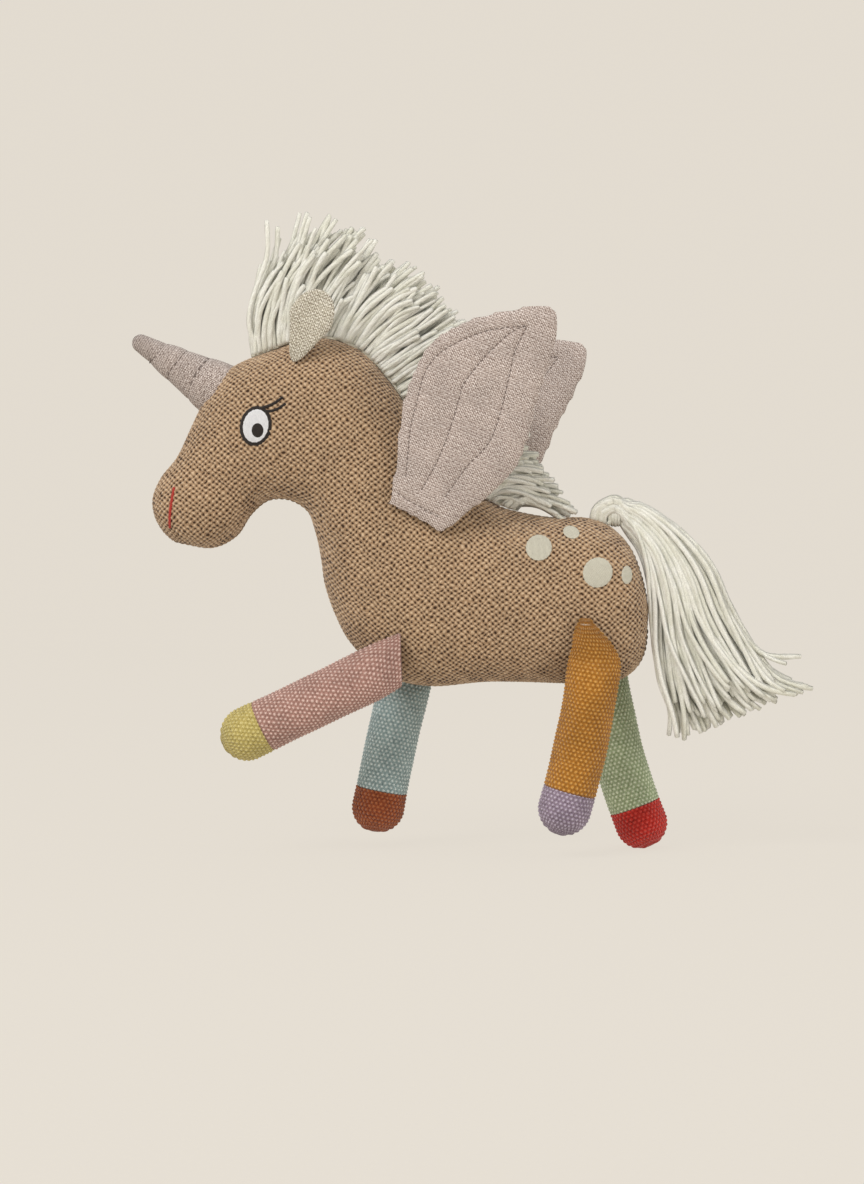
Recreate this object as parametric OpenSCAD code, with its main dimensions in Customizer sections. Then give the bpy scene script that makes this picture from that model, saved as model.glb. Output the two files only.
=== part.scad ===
// Knitted plush unicorn with sewn-on legs, wings, ears, horn, yarn mane and yarn tail.
// Frame: +Z up, the muzzle points along -X, the unicorn's left side faces -Y, the lowest hoof stands on Z = 0.

/* [Body] */
// Length of the stuffed body, from muzzle to rump
body_l = 297; // [240:1:360]
// Height of the stuffed body, from belly to poll
body_h = 209; // [170:1:250]
// Width of the stuffed body across the barrel
body_w = 78; // [62:1:94]
// Thickness of the knitted fabric
skin_t = 1.8; // [1.2:0.1:2.4]
// Thickness of the sewn seam between the two body panels
seam_t = 1.2; // [0.8:0.1:2]

/* [Legs] */
// Diameter of a stuffed leg
leg_d = 31; // [24:1:38]
// Length of the left front leg, from its hip to the end of its hoof
front_left_leg_l = 115; // [90:1:140]
// Length of the right front leg
front_right_leg_l = 114; // [90:1:140]
// Length of the left hind leg
hind_left_leg_l = 110; // [90:1:140]
// Length of the right hind leg
hind_right_leg_l = 123; // [90:1:148]
// Length of the coloured hoof at the end of each leg
hoof_l = 26; // [20:1:34]
// Thickness of the flattened top edge, where a leg is sewn to the body
tab_t = 5; // [4:0.5:7]

/* [Horn and ears] */
// Length of the horn from the forehead to the tip
horn_l = 58; // [46:1:72]
// Diameter of the horn where it meets the forehead
horn_base_d = 33; // [26:1:38]
// Diameter of the horn's rounded tip
horn_tip_d = 10; // [8:0.5:13]
// Length of an ear
ear_l = 46; // [36:1:56]
// Width of an ear
ear_w = 24; // [18:1:30]
// Thickness of an ear, both layers together
ear_t = 5; // [4:0.5:7]

/* [Wings] */
// Height of a wing, from its lowest corner to its top edge
wing_l = 134; // [108:1:160]
// Width of a wing, from its front edge to its back edge
wing_w = 102; // [82:1:122]
// Thickness of a stuffed wing in its middle
wing_t = 12; // [9:0.5:15]
// Lean of the wings outward from upright
wing_lean = 8; // [5:0.5:15]

/* [Mane and tail] */
// Length of the longest yarn in the mane
mane_l = 76; // [60:1:90]
// Width of the yarn mane
mane_w = 22; // [16:1:26]
// Width of the tape that the mane is sewn to
tape_w = 12; // [8:1:16]
// Length of the tail, from its knot to its longest yarn end
tail_l = 148; // [118:1:178]
// Width of the tail across the yarn
tail_w = 24; // [18:1:30]
// Diameter of the bound knot at the tail's root
tail_knot_d = 13; // [10:0.5:16]

/* [Face and spots] */
// Height of the white of an eye
eye_h = 20; // [16:0.5:24]
// Width of the white of an eye
eye_w = 15.5; // [12:0.5:18]
// Width of the stitched outline round an eye
outline_t = 2; // [1.5:0.1:3]
// Diameter of the pupil
pupil_d = 8; // [6:0.5:9]
// Length of the stitched mouth line
mouth_l = 24; // [18:1:30]
// Diameter of the largest rump spot
spot_d = 17; // [13:0.5:20]

/* [Fit] */
// Gap between two soft pieces that move past each other
move_gap = 0.8; // [0.5:0.1:1.5]
// Gap between two soft pieces that are sewn together
sewn_gap = 0.2; // [0.1:0.05:0.4]

/* [Hidden] */
LEFT = -1;
RIGHT = 1;

// ---- Curves and lofts ----

function mix(a, b, t) = a + (b - a) * t;
function reversed(list) = [for (i = [len(list) - 1:-1:0]) list[i]];
function without_first(list) = [for (i = [1:len(list) - 1]) list[i]];
function signed_power(v, p) = sign(v) * pow(abs(v), p);
function unit(v) = v / norm(v);

// Smooth curve through rows of numbers.
function curve(p0, p1, p2, p3, t) = 0.5 * (2 * p1 + (p2 - p0) * t
    + (2 * p0 - 5 * p1 + 4 * p2 - p3) * t * t + (3 * p1 - p0 - 3 * p2 + p3) * t * t * t);
function smooth(rows, steps) = let (last = len(rows) - 1) [
    for (i = [0:last - 1])
        for (j = [0:steps - 1])
            curve(rows[max(i - 1, 0)], rows[i], rows[i + 1], rows[min(i + 2, last)], j / steps),
    rows[last]
];

// A solid through a list of rings with equally many points each, closed flat at both ends.
module loft(rings) {
    n = len(rings[0]);
    last = len(rings) - 1;
    points = [for (ring = rings) for (p = ring) p];
    // Each wall is split along its shorter diagonal, so that nested layers bend the same way.
    walls = [
        for (i = [0:last - 1])
            for (k = [0:n - 1])
                let (
                    a = i * n + k,
                    b = i * n + (k + 1) % n,
                    forward = norm(points[a] - points[b + n]) <= norm(points[b] - points[a + n])
                )
                    each forward ? [[a, b, b + n], [a, b + n, a + n]] : [[a, b, a + n], [b, b + n, a + n]]
    ];
    ends = [[for (k = [n - 1:-1:0]) k], [for (k = [0:n - 1]) last * n + k]];
    polyhedron(points = points, faces = concat(walls, ends), convexity = 6);
}
// The same for the unicorn's left or right side, which are mirror images.
module side_loft(side, rings) {
    loft(side == RIGHT ? rings : reversed(rings));
}

// ---- Stance ----

// Size of the pattern that the body outline is drawn at, and its scale to the wanted size.
pattern_l = 297;
pattern_h = 209;
pattern_w = 78;
sx = body_l / pattern_l;
sy = body_w / pattern_w;
sz = body_h / pattern_h;

// Each leg: hip x, hip height above the belly, angle forward of straight down at the hip, its further bend
// along the leg, its length, how far its sewn top reaches above the hip, the width of that top, and how far
// the barrel's side curves in behind it.
FRONT_LEFT = [-39, 16, 64, 0.5, front_left_leg_l, 3, 29, 6];
FRONT_RIGHT = [-33, 21, 14.5, -4.5, front_right_leg_l, 3, 27, 5.5];
HIND_LEFT = [78, 22, 6, 12, hind_left_leg_l, 20, 6, 3.2];
HIND_RIGHT = [80, 20, -6, -18, hind_right_leg_l, 12, 14, 4.5];
leg_r = leg_d / 2;

// Place on a leg's axis at the distance t from the hip, as x and z from the hip. The axis is an arc.
function leg_angle(leg, t) = leg[2] + leg[3] * t / leg[4];
function leg_axis(leg, t) = let (radius = leg[4] / (leg[3] * PI / 180))
    radius * [cos(leg_angle(leg, t)) - cos(leg[2]), sin(leg[2]) - sin(leg_angle(leg, t))];
function hip_z(leg) = leg[1] * sz;
// Height of the belly's lowest point: the right hind hoof is the lowest one and stands on the ground.
ride_h = leg_r - hip_z(HIND_RIGHT) - leg_axis(HIND_RIGHT, hind_right_leg_l - leg_r)[1];
function hip(leg) = [leg[0] * sx, hip_z(leg) + ride_h];
// Place of a pattern point that is x from the middle and z above the belly.
function at(x, z) = [x * sx, z * sz + ride_h];

// ---- Body ----

// Body pattern, muzzle to rump: the back point x and z, the belly point x and z, and the half width of each
// section. Heights are above the lowest point of the belly.
PATTERN = [
    [-183, 94, -176, 87, 6],
    [-187, 102, -168, 85, 16],
    [-188, 113, -152, 83, 24],
    [-183, 125, -138, 90, 26],
    [-173, 138, -129, 103, 25],
    [-164, 157, -119, 111, 28],
    [-155, 174, -108, 112, 31],
    [-140, 191, -100, 109, 33],
    [-114, 202, -94, 104, 34],
    [-88, 209, -91, 97, 34],
    [-63, 201, -88, 86, 33],
    [-44, 181, -86, 74, 33],
    [-27, 156, -84, 60, 34],
    [-12, 134, -78, 43, 35],
    [3, 118, -68, 25, 37],
    [21, 108, -48, 7, 38],
    [39, 103, -21, 0, 39],
    [54, 101, 15, 3, 39],
    [72, 101, 57, 2, 38],
    [86, 96, 84, 2, 36],
    [98, 84, 99, 8, 30],
    [105, 67, 107, 20, 20],
    [109, 49, 109, 39, 7]
];
STATION_STEPS = 2;
HALF_SIDES = 9;
FULLNESS = 2.3;

STATIONS = [
    for (row = smooth(PATTERN, STATION_STEPS))
        [row[0] * sx, row[1] * sz + ride_h, row[2] * sx, row[3] * sz + ride_h, row[4] * sy]
];
FACE_ROWS = [for (i = [6:18]) STATIONS[i]];
MUZZLE_ROWS = [for (i = [0:9]) STATIONS[i]];
RUMP_ROWS = [for (i = [30:43]) STATIONS[i]];

// One point of a body section. The angle runs from the back at 0 to the belly at 180.
function section_point(row, angle, inset, side, apart) = let (
        back = [row[0], row[1]],
        belly = [row[2], row[3]],
        half = norm(back - belly) / 2,
        up = unit(back - belly) * max(half - inset, 0.4),
        out = max(row[4] - inset, 0.4),
        flat = (back + belly) / 2 + up * signed_power(cos(angle), 2 / FULLNESS)
    ) [flat[0], side * (out * signed_power(sin(angle), 2 / FULLNESS) + apart), flat[1]];
function half_section(row, inset, side, apart) = [
    for (k = [0:HALF_SIDES]) section_point(row, 180 * k / HALF_SIDES, inset, side, apart)
];
function full_section(row, inset) = concat(
    half_section(row, inset, RIGHT, 0),
    [for (k = [HALF_SIDES - 1:-1:1]) section_point(row, 180 * k / HALF_SIDES, inset, LEFT, 0)]
);
// What is inside the fabric stops one station short of each end.
INNER_ROWS = [for (i = [1:len(STATIONS) - 2]) STATIONS[i]];

// A curved layer on one side of the body, between two depths below the fabric's surface.
module side_layer(side, rows, outer, inner, apart) {
    side_loft(side, [
        for (row = rows) concat(
            half_section(row, outer, side, apart),
            reversed(half_section(row, inner, side, apart))
        )
    ]);
}

module body_panel(side) {
    color("tan") side_layer(side, STATIONS, 0, skin_t, seam_t / 2);
}

// The raw edges of both panels, sewn together in the middle plane.
module body_seam() {
    back_line = [for (row = STATIONS) [row[0], row[1]]];
    belly_line = [for (row = STATIONS) [row[2], row[3]]];
    inner = [for (row = INNER_ROWS) full_section(row, skin_t)];
    color("burlywood") rotate([90, 0, 0]) linear_extrude(height = seam_t - 2 * sewn_gap, center = true)
        difference() {
            polygon(concat(back_line, reversed(belly_line)));
            polygon(concat(
                [for (ring = inner) [ring[0][0], ring[0][2]]],
                reversed([for (ring = inner) [ring[HALF_SIDES][0], ring[HALF_SIDES][2]]])
            ));
        }
}

module body_stuffing() {
    depth = skin_t + sewn_gap;
    color("white") loft([for (row = INNER_ROWS) full_section(row, depth)]);
}

// ---- Legs ----

LEG_SIDES = 12;
// Place across the body of a leg's flattened top and of its hoof, which hangs further in.
function tab_y(leg) = body_w / 2 - leg[7] + move_gap + tab_t / 2;
function foot_y(leg) = tab_y(leg) - 8;
// How far the top leans out over the barrel's side.
function top_y(leg) = tab_y(leg) + leg[5] * 0.16;

// Sections along a leg: distance from the hip, place across the body, half width and half thickness.
function sleeve_rows(leg, inset) = let (tab = tab_y(leg), foot = foot_y(leg), full = leg_r - inset) [
    [inset - leg[5], top_y(leg), max(leg[6] / 2 - inset, 1), (tab_t - inset) / 2],
    [mix(-leg[5], 4, 0.5), mix(top_y(leg), tab, 0.5), max(mix(leg[6] / 2, leg_r, 0.6) - inset, 1),
        (tab_t - inset) / 2 + 0.4],
    [4, tab, full - 0.5, tab_t / 2 + 2 - inset],
    [12, tab, full, mix(tab_t / 2, leg_r, 0.45) - inset],
    [24, mix(tab, foot, 0.35), full, mix(tab_t / 2, leg_r, 0.8) - inset],
    [40, mix(tab, foot, 0.75), full, full],
    [58, foot, full, full],
    [leg[4] - hoof_l, foot, full, full]
];
function hoof_rows(leg, inset) = let (foot = foot_y(leg), dome = leg_r - inset) concat(
    [[leg[4] - hoof_l, foot, dome, dome]],
    [
        for (a = [0:18:90])
            let (turn = min(a, 84)) [leg[4] - leg_r + dome * sin(turn), foot, dome * cos(turn), dome * cos(turn)]
    ]
);
function leg_rings(leg, side, rows) = [
    for (row = rows)
        let (axis = hip(leg) + leg_axis(leg, row[0]), angle = leg_angle(leg, row[0]))
            [
                for (k = [0:LEG_SIDES - 1])
                    let (turn = 360 * k / LEG_SIDES, wide = row[2] * cos(turn)) [
                        axis[0] + wide * cos(angle),
                        side * (row[1] + row[3] * sin(turn)),
                        axis[1] - wide * sin(angle)
                    ]
            ]
];

module leg_sleeve(leg, side) {
    side_loft(side, leg_rings(leg, side,
        concat(reversed(sleeve_rows(leg, skin_t)), sleeve_rows(leg, 0))));
}

module leg_hoof(leg, side) {
    // The hoof is knitted on after the sleeve, so it starts a sewn gap further down.
    outer = hoof_rows(leg, 0);
    inner = hoof_rows(leg, skin_t);
    start = [sewn_gap, 0, 0, 0];
    side_loft(side, leg_rings(leg, side, concat(
        reversed(without_first(inner)), [inner[0] + start, outer[0] + start], without_first(outer)
    )));
}

module leg_stuffing(leg, side) {
    depth = skin_t + sewn_gap;
    sleeve = sleeve_rows(leg, depth);
    hoof = hoof_rows(leg, depth);
    color("white") side_loft(side, leg_rings(leg, side,
        concat([for (i = [2:len(sleeve) - 1]) sleeve[i]], without_first(hoof))));
}

// ---- Domed pieces: wings and ears ----

// How a stuffed piece closes from its rim to its middle: the share of the outline, and of the full height.
DOME = [[1, 0], [0.97, 0.34], [0.9, 0.62], [0.76, 0.85], [0.5, 0.98], [0.12, 1]];
function dome_rings(outline, centre, height, inset) = let (reach = max([for (p = outline) norm(p - centre)]))
    [
        for (step = DOME)
            let (share = step[0] * (1 - inset / reach * 1.6))
                [for (p = outline) concat(centre + (p - centre) * share, [step[1] * height])]
    ];
// One curved layer of a stuffed piece, from the flat middle plane out to its height.
module dome_layer(outline, centre, height, layer_t) {
    loft(concat(
        reversed(dome_rings(outline, centre, height - layer_t, layer_t)),
        dome_rings(outline, centre, height, 0)
    ));
}
module dome_solid(outline, centre, height) {
    loft(dome_rings(outline, centre, height, 0));
}

// ---- Wings ----

// Wing pattern from the front corner of the root, up the front edge, over the top and down the back edge to
// the rear corner of the root, as x and height.
WING_PATTERN = [
    [0, 0], [5, 27], [9, 59], [23, 91], [46, 107], [78, 115], [97, 115], [102, 105],
    [98, 87], [90, 60], [84, 38], [72, 15], [46, -7], [32, -18]
];
wing_pattern_w = 102;
wing_pattern_l = 134;
WING_STEPS = 2;
WING = [for (p = smooth(WING_PATTERN, WING_STEPS)) [p[0] * wing_w / wing_pattern_w, p[1] * wing_l / wing_pattern_l]];
wing_root_mid = (WING[0] + WING[len(WING) - 1]) / 2;
wing_centre = [50 * wing_w / wing_pattern_w, 52 * wing_l / wing_pattern_l];
wing_root_dir = unit(WING[len(WING) - 1] - WING[0]);
// Where the middle of a wing's root is sewn to the body, and how far back the right wing is turned.
wing_root = at(-28, 100);
wing_root_y = body_w / 2 - 1;
wing_right_turn = 9;

// Stands a wing drawn in a plane upright on its root, on the left or right side.
module place_wing(side, turn) {
    mirror([0, side == RIGHT ? 1 : 0, 0])
        translate([wing_root[0], -wing_root_y, wing_root[1]])
            rotate([0, turn, 0])
                rotate(a = wing_lean, v = [wing_root_dir[0], 0, wing_root_dir[1]])
                    rotate([90, 0, 0])
                        translate([-wing_root_mid[0], -wing_root_mid[1], 0])
                            children();
}
module wing_outer() {
    color("rosybrown") dome_layer(WING, wing_centre, wing_t / 2, skin_t);
}
module wing_inner() {
    color("rosybrown") mirror([0, 0, 1]) dome_layer(WING, wing_centre, wing_t / 2, skin_t);
}
module wing_batting() {
    depth = skin_t + sewn_gap;
    half = dome_rings(WING, wing_centre, wing_t / 2 - depth, depth);
    lower = [for (ring = half) [for (p = ring) [p[0], p[1], -p[2]]]];
    color("white") loft(concat(reversed(lower), without_first(half)));
}

// ---- Horn ----

horn_root = at(-150.5, 179);
horn_rise = 31;
horn_base_gap = 1;
HORN_RINGS = [0.2, 0.45, 0.7];

function horn_r(z) = mix(horn_base_d, horn_tip_d, z / (horn_l - horn_tip_d / 2)) / 2;
// Outline of the horn, inset from its surface, from the base to the tip.
module horn_profile(inset, base) {
    tip_z = horn_l - horn_tip_d / 2;
    tip_r = horn_tip_d / 2 - inset;
    polygon(concat(
        [[0, base], [horn_r(base) - inset, base]],
        [for (a = [0:15:90]) [tip_r * cos(a), tip_z + tip_r * sin(a)]]
    ));
}
module place_horn() {
    translate([horn_root[0], 0, horn_root[1]]) rotate([0, horn_rise - 90, 0]) children();
}
// The head with a sewn gap round it, which the horn's base is shaped to.
module forehead(gap) {
    rows = [for (i = [9:17]) STATIONS[i] + [0, 0, 0, 0, seam_t / 2]];
    loft([for (row = rows) full_section(row, -gap)]);
}
module horn_cover() {
    color("rosybrown") difference() {
        place_horn() rotate_extrude($fn = 48) difference() {
            horn_profile(0, -6);
            horn_profile(skin_t, -7);
        }
        forehead(sewn_gap);
    }
}
module horn_stuffing() {
    color("white") difference() {
        place_horn() rotate_extrude($fn = 48) horn_profile(skin_t + sewn_gap, -6);
        forehead(sewn_gap);
    }
}
// Rounds of stitching that the horn is ringed with.
module horn_stitching() {
    thread_r = 0.6;
    color("dimgray") place_horn() for (share = HORN_RINGS)
        translate([0, 0, share * horn_l]) rotate_extrude($fn = 48)
            translate([horn_r(share * horn_l) + thread_r + sewn_gap, 0]) circle(r = thread_r, $fn = 16);
}

// ---- Ears ----

ear_root = at(-101, 193);
ear_root_y = 24 * sy + ear_t / 2 + move_gap;
ear_tilt = 24;
ear_lean = 10;
EAR_STEPS = 10;
// Half the width of the leaf at the share t of its length.
function leaf(t) = ear_w / 2 * pow(sin(180 * pow(t, 0.85)), 0.72);
EAR_SIDE = concat(
    [[2.5, 0]],
    [for (i = [1:EAR_STEPS - 1]) [max(leaf(i / EAR_STEPS), 2.5), i * ear_l / EAR_STEPS]],
    [[2, ear_l]]
);
EAR = concat([for (p = EAR_SIDE) [-p[0], p[1]]], reversed(EAR_SIDE));
module place_ear(side) {
    mirror([0, side == RIGHT ? 1 : 0, 0])
        translate([ear_root[0], -ear_root_y, ear_root[1]])
            rotate([0, ear_tilt, 0]) rotate([ear_lean, 0, 0]) rotate([90, 0, 0])
                children();
}
module ear_back() {
    color("rosybrown") mirror([0, 0, 1]) dome_solid(EAR, [0, ear_l * 0.55], ear_t / 2);
}
module ear_front() {
    color("antiquewhite") dome_solid(EAR, [0, ear_l * 0.55], ear_t / 2);
}

// ---- Stitched face and rump spots: thin patches that follow the body's surface ----

patch_t = 0.8;
// An oval column across the body that cuts a patch out of a surface layer.
module oval(centre, width, height, tilt) {
    sides = 28;
    translate([centre[0], 0, centre[1]]) rotate([90, 0, 0]) linear_extrude(height = 2 * body_w, center = true)
        rotate(tilt) polygon([
            for (k = [0:sides - 1]) [width / 2 * cos(360 * k / sides), height / 2 * sin(360 * k / sides)]
        ]);
}
// A straight strip between two points, across the body.
module strip(from, to, width) {
    along = to - from;
    translate([from[0], 0, from[1]]) rotate([90, 0, 0]) linear_extrude(height = 2 * body_w, center = true)
        rotate(atan2(along[1], along[0])) translate([0, -width / 2]) square([norm(along), width]);
}
module patch(side, rows, depth) {
    intersection() {
        side_layer(side, rows, -depth - patch_t, -depth, seam_t / 2);
        children();
    }
}

eye = at(-122.5, 155);
eye_tilt = -12;
module eye_white(side) {
    color("ghostwhite") patch(side, FACE_ROWS, sewn_gap) oval(eye, eye_w, eye_h, eye_tilt);
}
module eye_outline(side) {
    gap = 2 * sewn_gap;
    color("black") patch(side, FACE_ROWS, sewn_gap) {
        union() {
            difference() {
                oval(eye, eye_w + 2 * outline_t, eye_h + 2 * outline_t, eye_tilt);
                oval(eye, eye_w + gap, eye_h + gap, eye_tilt);
            }
            strip(eye + [4, 9.5], eye + [16, 16.5], 1.6);
            strip(eye + [6.5, 7.5], eye + [17.5, 13], 1.6);
        }
    }
}
module eye_pupil(side) {
    lift = 2 * sewn_gap + patch_t;
    color("black") patch(side, FACE_ROWS, lift) oval(eye + [0.5, -2.5], pupil_d * 0.85, pupil_d, 0);
}

mouth = at(-172.5, 119);
module mouth_stitch(side) {
    color("firebrick") patch(side, MUZZLE_ROWS, sewn_gap) strip(mouth, mouth + [-3, -mouth_l], 1.8);
}

// Each spot: x, height above the belly, width, height and tilt, as shares of the largest spot's diameter.
SPOTS = [
    [44.5, 83, 0.9, 0.88, 0],
    [63.5, 92, 0.58, 0.42, -20],
    [79, 68.5, 1, 1.04, -35],
    [96, 67, 0.36, 0.62, 0]
];
module spots(side) {
    color("antiquewhite") for (spot = SPOTS)
        patch(side, RUMP_ROWS, sewn_gap) oval(at(spot[0], spot[1]), spot[2] * spot_d, spot[3] * spot_d, spot[4]);
}

// ---- Mane ----

// A row of the body between two stations.
function station(i) = mix(STATIONS[floor(i)], STATIONS[min(floor(i) + 1, len(STATIONS) - 1)], i - floor(i));
function back_normal(i) = let (a = station(i - 0.5), b = station(i + 0.5)) unit([a[1] - b[1], b[0] - a[0]]);
tape_t = 1.2;
MANE_START = 15;
MANE_END = 31;

module mane_tape() {
    low = sewn_gap;
    high = sewn_gap + tape_t;
    color("antiquewhite") loft([
        for (i = [MANE_START:1:MANE_END])
            let (p = [station(i)[0], station(i)[1]], n = back_normal(i), a = p + n * low, b = p + n * high) [
                [a[0], -tape_w / 2, a[1]],
                [b[0], -tape_w / 2, b[1]],
                [b[0], tape_w / 2, b[1]],
                [a[0], tape_w / 2, a[1]]
            ]
    ]);
}

// The mane's outline: station along the back, lean of the yarn backward from upright, share of its length.
MANE = [
    [15, -2, 0.74], [16, 5, 0.92], [17, 9, 1], [18.5, 30, 0.82], [20, 47, 0.76], [22, 56, 0.74],
    [24, 62, 0.74], [26, 68, 0.68], [28, 76, 0.58], [31, 88, 0.48]
];
function mane_at(i) = let (k = max([for (j = [0:len(MANE) - 2]) MANE[j][0] <= i ? j : 0]))
    mix(MANE[k], MANE[k + 1], (i - MANE[k][0]) / (MANE[k + 1][0] - MANE[k][0]));
// How the mane widens and closes from its tape to the yarn ends: share of the length, and of the width.
LOCK_SHAPE = [[0, 0.5], [0.15, 0.85], [0.5, 1], [0.85, 0.7], [1, 0.25]];
module mane_lock(from, to) {
    end_gap = 0.03;
    steps = ceil(to - from);
    lift = 2 * sewn_gap + tape_t;
    color("beige") loft([
        for (j = [0:steps])
            let (
                i = mix(from + end_gap, to - end_gap, j / steps),
                yarn = mane_at(i),
                root = [station(i)[0], station(i)[1]] + back_normal(i) * lift,
                run = mane_l * yarn[2] * [sin(yarn[1]), cos(yarn[1])]
            ) concat(
                [for (s = LOCK_SHAPE) let (p = root + run * s[0]) [p[0], -s[1] * mane_w / 2, p[1]]],
                [for (s = reversed(LOCK_SHAPE)) let (p = root + run * s[0]) [p[0], s[1] * mane_w / 2, p[1]]]
            )
    ]);
}

// ---- Tail ----

tail_station = 38;
tail_pattern_l = 148;
ts = tail_l / tail_pattern_l;
tail_surface = [station(tail_station)[0], station(tail_station)[1]];
tail_knot_at = tail_surface + back_normal(tail_station) * (tail_knot_d / 2 + move_gap);

module tail_knot() {
    color("beige") translate([tail_knot_at[0], 0, tail_knot_at[1]]) sphere(d = tail_knot_d, $fn = 40);
}

// The tail's outline from the knot's side to the yarn ends: the inner edge x and z, the outer edge x and z,
// and the share of the tail's width.
TAIL = [
    [2, -6, 0, 7, 0.45],
    [6, -10, 9, 5.5, 0.6],
    [15, -25, 28, -9, 0.8],
    [20, -49, 45, -30, 1],
    [22, -74, 57, -57, 1],
    [26, -96, 73, -83, 1],
    [31, -118, 88, -99, 0.9],
    [34, -135, 106, -106, 0.45]
];
tail_start = tail_knot_at + [tail_knot_d / 2 + move_gap, 0];
TAIL_SHAPE = [[0, 0.55], [0.12, 0.85], [0.5, 1], [0.88, 0.85], [1, 0.55]];
module tail_lock(from, to) {
    color("beige") loft([
        for (row = smooth(TAIL, 2))
            let (
                inner = [row[0], row[1]] * ts,
                outer = [row[2], row[3]] * ts,
                gap = unit(outer - inner) * sewn_gap / 2,
                a = tail_start + mix(inner, outer, from) + gap,
                b = tail_start + mix(inner, outer, to) - gap,
                half = row[4] * tail_w / 2
            ) concat(
                [for (s = TAIL_SHAPE) let (p = mix(a, b, s[0])) [p[0], -s[1] * half, p[1]]],
                [for (s = reversed(TAIL_SHAPE)) let (p = mix(a, b, s[0])) [p[0], s[1] * half, p[1]]]
            )
    ]);
}

// ---- The pieces ----

body_panel(LEFT);  // body_panel_left
body_panel(RIGHT);  // body_panel_right
body_seam();
body_stuffing();

color("rosybrown") leg_sleeve(FRONT_LEFT, LEFT);  // front_left_sleeve
color("darkkhaki") leg_hoof(FRONT_LEFT, LEFT);  // front_left_hoof
leg_stuffing(FRONT_LEFT, LEFT);  // front_left_stuffing
color("lightslategray") leg_sleeve(FRONT_RIGHT, RIGHT);  // front_right_sleeve
color("saddlebrown") leg_hoof(FRONT_RIGHT, RIGHT);  // front_right_hoof
leg_stuffing(FRONT_RIGHT, RIGHT);  // front_right_stuffing
color("darkgoldenrod") leg_sleeve(HIND_LEFT, LEFT);  // hind_left_sleeve
color("thistle") leg_hoof(HIND_LEFT, LEFT);  // hind_left_hoof
leg_stuffing(HIND_LEFT, LEFT);  // hind_left_stuffing
color("darkseagreen") leg_sleeve(HIND_RIGHT, RIGHT);  // hind_right_sleeve
color("firebrick") leg_hoof(HIND_RIGHT, RIGHT);  // hind_right_hoof
leg_stuffing(HIND_RIGHT, RIGHT);  // hind_right_stuffing

place_wing(LEFT, 0) wing_outer();  // wing_left_outer
place_wing(LEFT, 0) wing_inner();  // wing_left_inner
place_wing(LEFT, 0) wing_batting();  // wing_left_batting
place_wing(RIGHT, wing_right_turn) wing_outer();  // wing_right_outer
place_wing(RIGHT, wing_right_turn) wing_inner();  // wing_right_inner
place_wing(RIGHT, wing_right_turn) wing_batting();  // wing_right_batting

horn_cover();
horn_stuffing();
horn_stitching();
place_ear(LEFT) ear_back();  // ear_left_back
place_ear(LEFT) ear_front();  // ear_left_front
place_ear(RIGHT) ear_back();  // ear_right_back
place_ear(RIGHT) ear_front();  // ear_right_front

eye_white(LEFT);  // eye_left_white
eye_outline(LEFT);  // eye_left_outline
eye_pupil(LEFT);  // eye_left_pupil
eye_white(RIGHT);  // eye_right_white
eye_outline(RIGHT);  // eye_right_outline
eye_pupil(RIGHT);  // eye_right_pupil
mouth_stitch(LEFT);  // mouth_stitch_left
mouth_stitch(RIGHT);  // mouth_stitch_right
spots(LEFT);  // spots_left
spots(RIGHT);  // spots_right

mane_tape();
mane_lock(15, 17);  // mane_forelock
mane_lock(17, 20);  // mane_poll
mane_lock(20, 22);  // mane_crest
mane_lock(22, 24);  // mane_nape
mane_lock(24, 28);  // mane_shoulder
mane_lock(28, 31);  // mane_withers

tail_knot();
tail_lock(0.67, 1);  // tail_upper_lock
tail_lock(0.33, 0.67);  // tail_middle_lock
tail_lock(0, 0.33);  // tail_lower_lock
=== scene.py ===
import math

import bpy
import numpy as np
from mathutils import Matrix, Vector
from mathutils.bvhtree import BVHTree


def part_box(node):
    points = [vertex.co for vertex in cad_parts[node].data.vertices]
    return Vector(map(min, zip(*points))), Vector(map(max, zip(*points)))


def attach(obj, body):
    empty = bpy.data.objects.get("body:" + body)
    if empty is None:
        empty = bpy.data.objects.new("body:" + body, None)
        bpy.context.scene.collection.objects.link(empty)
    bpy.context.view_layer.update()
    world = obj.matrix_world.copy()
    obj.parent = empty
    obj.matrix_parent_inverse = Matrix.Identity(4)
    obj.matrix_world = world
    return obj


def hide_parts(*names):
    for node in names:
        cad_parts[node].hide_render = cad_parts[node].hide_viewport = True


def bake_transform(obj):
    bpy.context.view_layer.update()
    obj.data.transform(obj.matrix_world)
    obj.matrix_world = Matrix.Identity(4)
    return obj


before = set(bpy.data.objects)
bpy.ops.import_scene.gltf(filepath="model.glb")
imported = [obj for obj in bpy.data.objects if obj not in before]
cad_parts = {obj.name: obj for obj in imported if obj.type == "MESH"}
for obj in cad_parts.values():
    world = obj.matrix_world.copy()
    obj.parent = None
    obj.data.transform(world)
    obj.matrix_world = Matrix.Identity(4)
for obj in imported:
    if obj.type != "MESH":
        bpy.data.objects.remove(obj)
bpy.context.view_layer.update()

# Knitted plush unicorn. Lengths here are in millimetres, turned into metres when a mesh is made.
MM = 0.001
LEFT, RIGHT = -1, 1
NAME = {LEFT: "left", RIGHT: "right"}
TAU = 2 * math.pi
rng = np.random.default_rng(7)


def srgb(code):
    """Linear colour from a six-figure sRGB code."""
    parts = [int(code[i:i + 2], 16) / 255 for i in (0, 2, 4)]
    return tuple(c / 12.92 if c <= 0.04045 else ((c + 0.055) / 1.055) ** 2.4 for c in parts) + (1.0,)


def smoothstep(low, high, x):
    t = np.clip((x - low) / (high - low), 0, 1)
    return t * t * (3 - 2 * t)


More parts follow.
